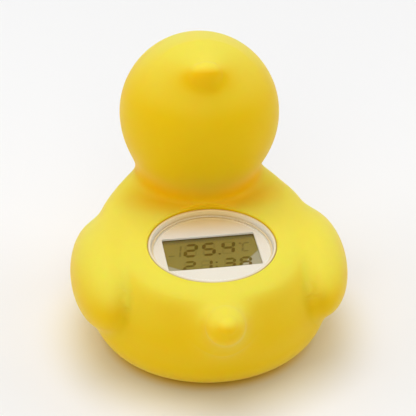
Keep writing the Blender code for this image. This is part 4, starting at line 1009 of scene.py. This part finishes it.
class THERMOMETER_OT_display(bpy.types.Operator):
    """Builds the display glass and the figures under its surface"""

    bl_idname = "thermometer.display"
    bl_label = "Display"

    def execute(self, context):
        settings = context.scene.thermometer_display
        top = GLASS_HIGH.z
        levels = [(0.35, top), (0.15, top), (0.0, top - 0.15), (0.0, GLASS_LOW.z + 0.15), (0.15, GLASS_LOW.z)]
        rings = rectangle_rings(PANE_HALF_WIDTH, PANE_HALF_HEIGHT, levels, 240, settings.turn, PANE_Y)
        form = Form().add_block(rings)
        finished(form.mesh("lcd_glass"), "display_pane", "display_glass", display_film(settings), "lcd_glass")
        lit, faint, off = [], [], []
        upper_row, lower_row = 3.3, -6.0
        for figures, places, row, size, thick, thin in (
            (settings.reading, (-7.0, -0.55, 6.3), upper_row, (3.7, 6.7), 1.25, 0.8),
            (settings.time, (-8.8, -2.9, 5.3, 11.0), lower_row, (3.3, 5.0), 1.1, 0.7),
        ):
            for figure, across in zip(figures, places):
                lit += bar_outlines(figure, (across, row), size, thick)
                off += bar_outlines("8", (across, row), size, thin)
        for figure, middle, size, thick in (
            ("-", (-14.1, upper_row - 2.4), (2.6, 6.9), 0.7),
            ("1", (-12.3, upper_row), (3.2, 6.9), 0.7),
            ("C", (12.6, upper_row - 0.4), (2.3, 4.8), 0.75),
        ):
            faint += bar_outlines(figure, middle, size, thick)
        faint.append(dot_outline((10.9, 5.3), 0.55))
        lit += [dot_outline(middle, 0.42) for middle in ((0.9, -4.9), (0.5, -7.4))]
        lit.append(dot_outline((2.75, 0.0), 0.5))
        for name, outlines, colour in (
            ("figures_on", lit, settings.figure_colour),
            ("figures_faint", faint, darker(settings.field_colour, 0.6)),
            ("figures_off", off, darker(settings.field_colour, 0.84)),
        ):
            rise = 0.03 if outlines is lit else 0.02
            form = prisms(outlines, top - rise, top + rise, settings.turn)
            finish = moulded(name, colour, 0.35, 0.2, 0.001)
            finished(form.mesh(name), name, "display_glass", finish)
        return {"FINISHED"}


def mouth(form, centre, radius, seat, edge=0.2, sides=48):
    """Adds a round tool that bores a floor opening up to its seat and chamfers its mouth."""
    z = NOSE_Z
    corners = [
        (0.0, seat, 0.0), (radius, seat, 0.0), (radius, z + edge, 0.0),
        (radius + 0.3 * edge, z + 0.3 * edge, 0.0), (radius + edge, z, 0.0), (radius + edge, z - 2, 0.0),
        (0.0, z - 2, 0.0),
    ]
    return turned_solid(form, corners, sides, centre)


class THERMOMETER_OT_lower_housing(bpy.types.Operator):
    """Builds the housing's cup with its floor openings, battery tub and bosses"""

    bl_idname = "thermometer.lower_housing"
    bl_label = "Lower housing"

    def execute(self, context):
        settings = context.scene.thermometer_housing
        outer, split = HOUSING_RADIUS, LOWER_HIGH.z - 3
        shoulder = NOSE_RADIUS + 2.2
        bore = outer - 1.6
        lip = bore - 0.3
        floor, wall_foot, shoulder_foot = 2.6, 7.5, 2.3
        corners = [
            (0.0, floor, 0.0), (NOSE_RADIUS - 1.5, floor, 0.2), (NOSE_RADIUS, floor + 1.3, 0.2),
            (shoulder - 0.7, floor + 1.3, 0.3), (bore, wall_foot + 0.7, 0.6), (bore, split - 2.7, 0.2),
            (lip - 1.2, split - 1.5, 0.2), (lip - 1.2, LOWER_HIGH.z, 0.2), (lip, LOWER_HIGH.z, 0.2),
            (lip, split, 0.1), (outer, split, 0.2), (outer, wall_foot, 0.6),
            (shoulder, shoulder_foot, 0.3), (NOSE_RADIUS, shoulder_foot, 0.2),
            (NOSE_RADIUS, NOSE_Z, 1.4 * settings.rounding / MM), (0.0, NOSE_Z, 0.0),
        ]
        cup = turned_solid(Form(), corners, settings.sides)
        door = (0.0, DOOR_Y)
        tub_top, tub_step, tub_radius, rim = 11.2, 4.9, 8.0, DOOR_RADIUS + 1.6
        sunk = floor - 0.8
        tub = [
            (0.0, tub_top, 0.0), (tub_radius, tub_top, 0.4), (tub_radius, tub_step, 0.4),
            (rim, tub_step, 0.3), (rim, sunk, 0.0), (0.0, sunk, 0.0),
        ]
        posts = Form()
        for places, radius, top, foot in (
            (HOUSING_SCREWS, BOSS_RADIUS, split - 0.2, sunk),
            (DOOR_SCREWS, 2.1, tub_step + 2.0, tub_step - 0.9),
        ):
            for centre in places:
                post = [(0.0, top, 0.0), (radius, top, 0.2), (radius, foot, 0.0), (0.0, foot, 0.0)]
                turned_solid(posts, post, 32, centre)
        mesh = combined(cup.mesh("cup"), [turned_solid(Form(), tub, 96, door), posts], "UNION")
        recess = mouth(Form(), door, DOOR_RADIUS + 0.3, DOOR_HIGH.z + 0.3, 0.3, 144)
        roof, cell_radius = 9.8, 6.1
        well = [(0.0, roof, 0.0), (cell_radius, roof, 0.3), (cell_radius, 0.0, 0.0), (0.0, 0.0, 0.0)]
        openings = Form()
        for centre in HOUSING_SCREWS:
            mouth(openings, centre, 1.9, 2.9)
        for centre in ((-KEY_X, KEY_Y), (KEY_X, KEY_Y), (0.0, CAP_Y)):
            mouth(openings, centre, 2.6, 4.5, 0.25)
        mesh = combined(mesh, [recess, turned_solid(Form(), well, 96, door), openings], "DIFFERENCE")
        finish = moulded("white_plastic_lower", settings.colour, 0.4)
        finished(mesh, "unit_cup", "white_plastic", finish, "lower_housing")
        return {"FINISHED"}


class THERMOMETER_OT_battery_door(bpy.types.Operator):
    """Builds the round battery door with its raised grip ring and screw seats"""

    bl_idname = "thermometer.battery_door"
    bl_label = "Battery door"

    def execute(self, context):
        settings = context.scene.thermometer_housing
        low = DOOR_LOW.z
        corners = [
            (0.0, DOOR_HIGH.z, 0.0), (DOOR_RADIUS, DOOR_HIGH.z, 0.2), (DOOR_RADIUS, low, 0.35),
            (6.6, low, 0.1), (6.3, low + 0.3, 0.1), (5.9, low + 0.3, 0.1), (5.6, low, 0.1),
            (0.0, low, 0.0),
        ]
        mesh = turned_solid(Form(), corners, settings.sides, (0.0, DOOR_Y)).mesh("door")
        seats = Form()
        for centre in DOOR_SCREWS:
            mouth(seats, centre, 1.3, low + 0.95, 0.15, 32)
        levels = [(0.0, low + 0.5), (0.0, low + 0.15), (-0.2, low - 1)]
        slot = rectangle_rings(3.6, 0.7, levels, 96, 0.0, DOOR_Y)
        mesh = combined(mesh, [seats, Form().add_block(slot)], "DIFFERENCE")
        finish = moulded("white_plastic_door", darker(settings.colour, 0.97), 0.42)
        finished(mesh, "cell_door", "white_plastic", finish, "battery_door")
        return {"FINISHED"}


def screw_form(centre, low, high, head_radius, head_height, shank_radius):
    """A screw seen from below: a domed head with a cross recess and a threaded shank that ends in a point.

    The head's height is a flattened dome less a cross, which is the greater of two soft strips. The
    shank's radius has a saw tooth of the height less the angle round, in turns of the thread.
    """
    sides, rows = 64, 22
    angle = angles(sides)
    share = np.linspace(1.0, 0.06, rows)[:, None]
    radius = head_radius * share * np.ones(sides)
    x, y = radius * np.cos(angle), radius * np.sin(angle)
    dome = 0.35 * head_height * share**4
    arm, reach = 0.16 * head_radius, 0.62 * head_radius
    narrow = [ease((arm - np.abs(offset)) / (0.4 * arm) + 0.5) for offset in (x, y)]
    long = [ease((reach - np.abs(offset)) / (0.3 * reach) + 0.5) for offset in (y, x)]
    face = low + dome + 0.55 * head_height * np.maximum(narrow[0] * long[0], narrow[1] * long[1])
    seat = low + head_height
    pitch = 2.6 * shank_radius / 3
    climb = np.linspace(high, seat + 0.2, int((high - seat) / pitch * 6))[:, None]
    tooth = np.abs((climb / pitch - angle / (2 * math.pi)) % 1.0 - 0.5)
    taper = ease((high - climb) / (2.5 * shank_radius) + 0.05)
    thread = (shank_radius * (0.78 + 0.44 * tooth)) * taper + 0.02
    neck = np.array([(shank_radius, seat), (head_radius, seat), (head_radius, low + 0.42 * head_height)])
    radius = np.concatenate([thread, neck[:, :1] * np.ones(sides), radius])
    height = np.concatenate([climb * np.ones(sides), neck[:, 1:] * np.ones(sides), face])
    x, y = centre[0], centre[1] + AXIS_Y
    rings = np.stack([x + radius * np.cos(angle), y + radius * np.sin(angle), height], axis=-1)
    return Form().add(rings, [(x, y, high), (x, y, face[-1].mean())])


class THERMOMETER_OT_screws(bpy.types.Operator):
    """Builds the housing's and the door's screws"""

    bl_idname = "thermometer.screws"
    bl_label = "Screws"

    def execute(self, context):
        finish = metal("screw_steel", (0.66, 0.65, 0.62), 0.26)
        groups = [
            ("housing_screw", HOUSING_SCREWS, (1.6, 1.2, 0.9)),
            ("door_screw", DOOR_SCREWS, (1.0, 0.6, 0.6)),
        ]
        for stem, places, sizes in groups:
            for number, centre in enumerate(places, start=1):
                node = f"{stem}_{number}"
                low, high = millimetres(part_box(node))
                mesh = screw_form(centre, low.z, high.z, *sizes).mesh(node)
                finished(mesh, f"{node}_turned", "screw_steel", finish, node)
        return {"FINISHED"}


class THERMOMETER_OT_sensor_cap(bpy.types.Operator):
    """Builds the steel sensor cap"""

    bl_idname = "thermometer.sensor_cap"
    bl_label = "Sensor cap"

    def execute(self, context):
        low, high = CAP_LOW.z, CAP_HIGH.z
        wide = (CAP_HIGH.x - CAP_LOW.x) / 2
        radius = wide - 0.7
        corners = [
            (0.0, low + 0.4, 0.0), (radius - 0.4, low + 0.4, 0.4), (radius - 0.4, high, 0.1),
            (wide, high, 0.1), (wide, high - 0.4, 0.1), (radius, high - 0.4, 0.1), (radius, low, 0.8),
            (0.0, low, 0.0),
        ]
        form = turned_solid(Form(), corners, 96, (0.0, CAP_Y))
        finish = metal("brushed_steel", (0.72, 0.71, 0.69), 0.2, (0.0, CAP_Y))
        finished(form.mesh("sensor_cap"), "probe_cap", "brushed_steel", finish, "sensor_cap")
        return {"FINISHED"}


class THERMOMETER_OT_setting_keys(bpy.types.Operator):
    """Builds the two rubber setting keys"""

    bl_idname = "thermometer.setting_keys"
    bl_label = "Setting keys"

    def execute(self, context):
        finish = moulded("key_rubber", (0.34, 0.35, 0.37), 0.7, 0.2, 0.012)
        for word, side in (("left", -1), ("right", 1)):
            low, high = millimetres(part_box(f"key_{word}"))
            wide = (high.x - low.x) / 2
            radius = wide - 0.6
            corners = [
                (0.0, high.z, 0.0), (1.2, high.z, 0.15), (1.2, high.z - 0.8, 0.1),
                (wide, high.z - 0.8, 0.1), (wide, high.z - 1.4, 0.1), (radius, high.z - 1.4, 0.1),
                (radius, low.z, 0.35), (1.5, low.z, 0.2), (1.1, low.z + 0.2, 0.3),
                (0.0, low.z + 0.25, 0.0),
            ]
            form = turned_solid(Form(), corners, 64, (side * KEY_X, KEY_Y))
            name = f"key_{word}"
            finished(form.mesh(name), f"{word}_press_key", "key_rubber", finish, name, body=f"{word}_key")
        return {"FINISHED"}


class THERMOMETER_OT_inside(bpy.types.Operator):
    """Gives every CAD node that is carried over its own material"""

    bl_idname = "thermometer.inside"
    bl_label = "Inside"

    def execute(self, context):
        screws = ["board_screw_1", "board_screw_2", "key_board_screw_1", "key_board_screw_2"]
        for finish, nodes in (
            (moulded("inside_seal_rubber", (0.45, 0.36, 0.28), 0.65), ["housing_seal", "door_seal"]),
            (metal("inside_screw_steel", (0.62, 0.62, 0.6), 0.3), ["timing_crystal", *screws]),
            (
                moulded("epoxy_black", (0.012, 0.012, 0.012), 0.4, 0.4, 0.02),
                ["controller_chip", "thermistor", "key_switch_left", "key_switch_right"],
            ),
            (
                striped("strip_rubber", (0.75, 0.62, 0.6), (0.1, 0.09, 0.09), 0.5),
                ["connector_strip_front", "connector_strip_rear"],
            ),
            (board(), ["circuit_board", "key_board"]),
            (moulded("capacitor_tan", (0.5, 0.34, 0.2), 0.5), ["chip_capacitor_1", "chip_capacitor_2"]),
            (metal("cell_nickel", (0.72, 0.7, 0.66), 0.25, (0.0, DOOR_Y)), ["battery_cell"]),
            (metal("contact_nickel", (0.72, 0.7, 0.62), 0.3), ["contact_positive", "contact_negative"]),
            (moulded("lead_white", (0.8, 0.8, 0.78), 0.5), ["sensor_lead"]),
            (moulded("lead_red", (0.6, 0.03, 0.02), 0.5), ["battery_lead_positive"]),
            (moulded("lead_black", (0.02, 0.02, 0.02), 0.5), ["battery_lead_negative"]),
        ):
            for node in nodes:
                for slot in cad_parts[node].material_slots:
                    slot.material = finish
        return {"FINISHED"}


def striped(name, colour, dark, pitch):
    """Rubber with fine conducting stripes across its length."""
    finish = Finish(name, Roughness=0.65)
    x, _, _ = finish.axes(finish.place())
    stripes = (x * (2 * math.pi / pitch)).sine().step(-0.2, 0.2)
    speck = finish.noise(0.3)
    finish.set("Base Color", finish.mix(stripes * (0.9 + speck * 0.1), colour, dark))
    return finish.bump(speck, 0.01).material


def board():
    """Green circuit board: a weave under the varnish and paler copper tracks in steps."""
    finish = Finish("board_green")
    x, y, _ = finish.axes(finish.place())
    weave = (x * (2 * math.pi / 0.5)).sine() * (y * (2 * math.pi / 0.5)).sine() * 0.5 + 0.5
    track = ((x + finish.noise(6) * 4) * (2 * math.pi / 2.2)).sine().step(0.55, 0.7)
    colour = finish.mix(weave * 0.3, (0.02, 0.16, 0.06), (0.03, 0.22, 0.09))
    finish.set("Base Color", finish.mix(track * 0.7, colour, (0.06, 0.34, 0.12)))
    finish.set("Roughness", 0.35 + weave * 0.15)
    return finish.bump(track + weave * 0.2, 0.02).material


class THERMOMETER_OT_stage(bpy.types.Operator):
    """Makes the floor, the soft lights, the sky and the camera"""

    bl_idname = "thermometer.stage"
    bl_label = "Stage"

    def execute(self, context):
        settings = context.scene.thermometer_stage
        scene = context.scene
        side = np.linspace(-4.0, 4.0, 9)
        x, y = np.meshgrid(side, side)
        points = np.stack([x, y, np.zeros_like(x)], axis=-1).reshape(-1, 3)
        here = np.arange(81).reshape(9, 9)
        faces = np.stack([here[:-1, :-1], here[:-1, 1:], here[1:, 1:], here[1:, :-1]], axis=-1).reshape(-1, 4)
        mesh = bpy.data.meshes.new("floor")
        mesh.from_pydata(points.tolist(), [], faces.tolist())
        floor = bpy.data.objects.new("floor", mesh)
        scene.collection.objects.link(floor)
        finish = Finish("floor_paper")
        grain = finish.noise(1.2, 2.0)
        x, y, _ = finish.axes(finish.place())
        # Painted light on the paper: yellow bounce light from the duck in a ring round it, a painted shadow
        # on the camera's side, and a deep yellow-brown painted contact shadow at its foot
        radius = (x * x + (y + 6) * (y + 6)) ** 0.5
        painted_bounce_light = radius.step(66, 30) * 0.8
        colour = finish.mix(grain, darker(settings.floor_colour, 0.995), settings.floor_colour)
        colour = finish.mix(painted_bounce_light, colour, (0.91, 0.83, 0.43))
        # Painted shadow: the paper darkens and yellows towards the camera, where the duck's shadow falls
        near = y.step(20, -62)
        painted_shadow_colour = finish.mix(painted_bounce_light, darker(settings.floor_colour, 0.96), (0.64, 0.61, 0.42))
        colour = finish.mix(near, colour, painted_shadow_colour)
        # Painted contact shadow, yellow-brown, right at the duck's foot
        foot = ((x / 1.1) * (x / 1.1) + (y + 7) * (y + 7)) ** 0.5
        colour = finish.mix(foot.step(37, 31), colour, (0.74, 0.55, 0.06))
        finish.set("Base Color", colour)
        finish.set("Roughness", 0.55 + grain * 0.05)
        mesh.materials.append(finish.material)
        self.add_light(scene, "top_light", settings.top_light, 1.1, (-0.1, 0.15, 1.5))
        self.add_light(scene, "left_light", settings.side_light * 0.92, 0.9, (-1.3, 0.1, 0.75))
        self.add_light(scene, "right_light", settings.side_light, 0.9, (1.3, 0.1, 0.75))
        self.add_light(scene, "front_light", settings.front_light, 1.0, (-0.25, -1.2, 0.8))
        self.add_sky(scene, settings)
        self.add_camera(scene, settings)
        scene.view_settings.view_transform = "Standard"
        return {"FINISHED"}

    def add_light(self, scene, name, power, size, place):
        """A square soft light that faces the object."""
        light = bpy.data.lights.new(name, "AREA")
        light.shape = "SQUARE"
        light.size = size
        light.energy = power
        lamp = bpy.data.objects.new(name, light)
        scene.collection.objects.link(lamp)
        lamp.location = place
        away = Vector(place) - Vector((0.0, 0.0, 0.05))
        lamp.rotation_mode = "QUATERNION"
        lamp.rotation_quaternion = away.to_track_quat("Z", "Y")

    def add_sky(self, scene, settings):
        """Even light from all round, which looks white to the camera and in gloss."""
        world = bpy.data.worlds.new("white_tent")
        world.use_nodes = True
        scene.world = world
        tree = world.node_tree
        path = tree.nodes.new("ShaderNodeLightPath")
        seen = path.outputs["Is Camera Ray"]
        for ray in ("Is Glossy Ray", "Is Transmission Ray"):
            either = tree.nodes.new("ShaderNodeMath")
            either.operation = "MAXIMUM"
            tree.links.new(seen, either.inputs[0])
            tree.links.new(path.outputs[ray], either.inputs[1])
            seen = either.outputs[0]
        strength = tree.nodes.new("ShaderNodeMapRange")
        strength.inputs["To Min"].default_value = settings.sky
        strength.inputs["To Max"].default_value = 0.93
        tree.links.new(seen, strength.inputs["Value"])
        background = tree.nodes["Background"]
        background.inputs["Color"].default_value = (1.0, 1.0, 1.0, 1.0)
        tree.links.new(strength.outputs[0], background.inputs["Strength"])

    def add_camera(self, scene, settings):
        """A camera that looks back along the given direction from the target."""
        azimuth, elevation, roll = settings.azimuth, settings.elevation, settings.roll
        flat = math.cos(elevation)
        back = Vector((math.sin(azimuth) * flat, -math.cos(azimuth) * flat, math.sin(elevation)))
        right = Vector((math.cos(azimuth), math.sin(azimuth), 0.0))
        up = back.cross(right)
        right, up = math.cos(roll) * right + math.sin(roll) * up, math.cos(roll) * up - math.sin(roll) * right
        camera = bpy.data.cameras.new("camera")
        camera.lens = settings.focal_length
        camera.sensor_width = 36.0
        camera.clip_start, camera.clip_end = 0.01, 50.0
        holder = bpy.data.objects.new("camera", camera)
        scene.collection.objects.link(holder)
        place = Vector(settings.target) + settings.distance * back
        rows = [(*row, offset) for row, offset in zip(zip(right, up, back), place)]
        holder.matrix_world = Matrix([*rows, (0.0, 0.0, 0.0, 1.0)])
        scene.camera = holder


class THERMOMETER_PT_panel(bpy.types.Panel):
    """Lists the pieces and the settings"""

    bl_idname = "THERMOMETER_PT_panel"
    bl_label = "Bath thermometer"
    bl_space_type = "VIEW_3D"
    bl_region_type = "UI"
    bl_category = "Thermometer"

    def draw(self, context):
        for operator in OPERATORS:
            self.layout.operator(operator.bl_idname)
        for name, group in GROUPS.items():
            box = self.layout.box()
            box.label(text=group.__doc__)
            for setting in group.__annotations__:
                box.prop(getattr(context.scene, name), setting)


GROUPS = {
    "thermometer_skin": SkinSettings,
    "thermometer_housing": HousingSettings,
    "thermometer_display": DisplaySettings,
    "thermometer_stage": StageSettings,
}
OPERATORS = (
    THERMOMETER_OT_stage,
    THERMOMETER_OT_duck_skin,
    THERMOMETER_OT_upper_housing,
    THERMOMETER_OT_lens,
    THERMOMETER_OT_display,
    THERMOMETER_OT_lower_housing,
    THERMOMETER_OT_battery_door,
    THERMOMETER_OT_screws,
    THERMOMETER_OT_sensor_cap,
    THERMOMETER_OT_setting_keys,
    THERMOMETER_OT_inside,
)


def register():
    for group in GROUPS.values():
        bpy.utils.register_class(group)
    for operator in OPERATORS:
        bpy.utils.register_class(operator)
    bpy.utils.register_class(THERMOMETER_PT_panel)
    for name, group in GROUPS.items():
        setattr(bpy.types.Scene, name, PointerProperty(type=group))


def unregister():
    for name in GROUPS:
        delattr(bpy.types.Scene, name)
    bpy.utils.unregister_class(THERMOMETER_PT_panel)
    for found in (*reversed(OPERATORS), *reversed(GROUPS.values())):
        bpy.utils.unregister_class(found)


def main():
    """Builds every piece."""
    register()
    for operator in OPERATORS:
        group, action = operator.bl_idname.split(".")
        getattr(getattr(bpy.ops, group), action)()


if __name__ == "__main__":
    main()
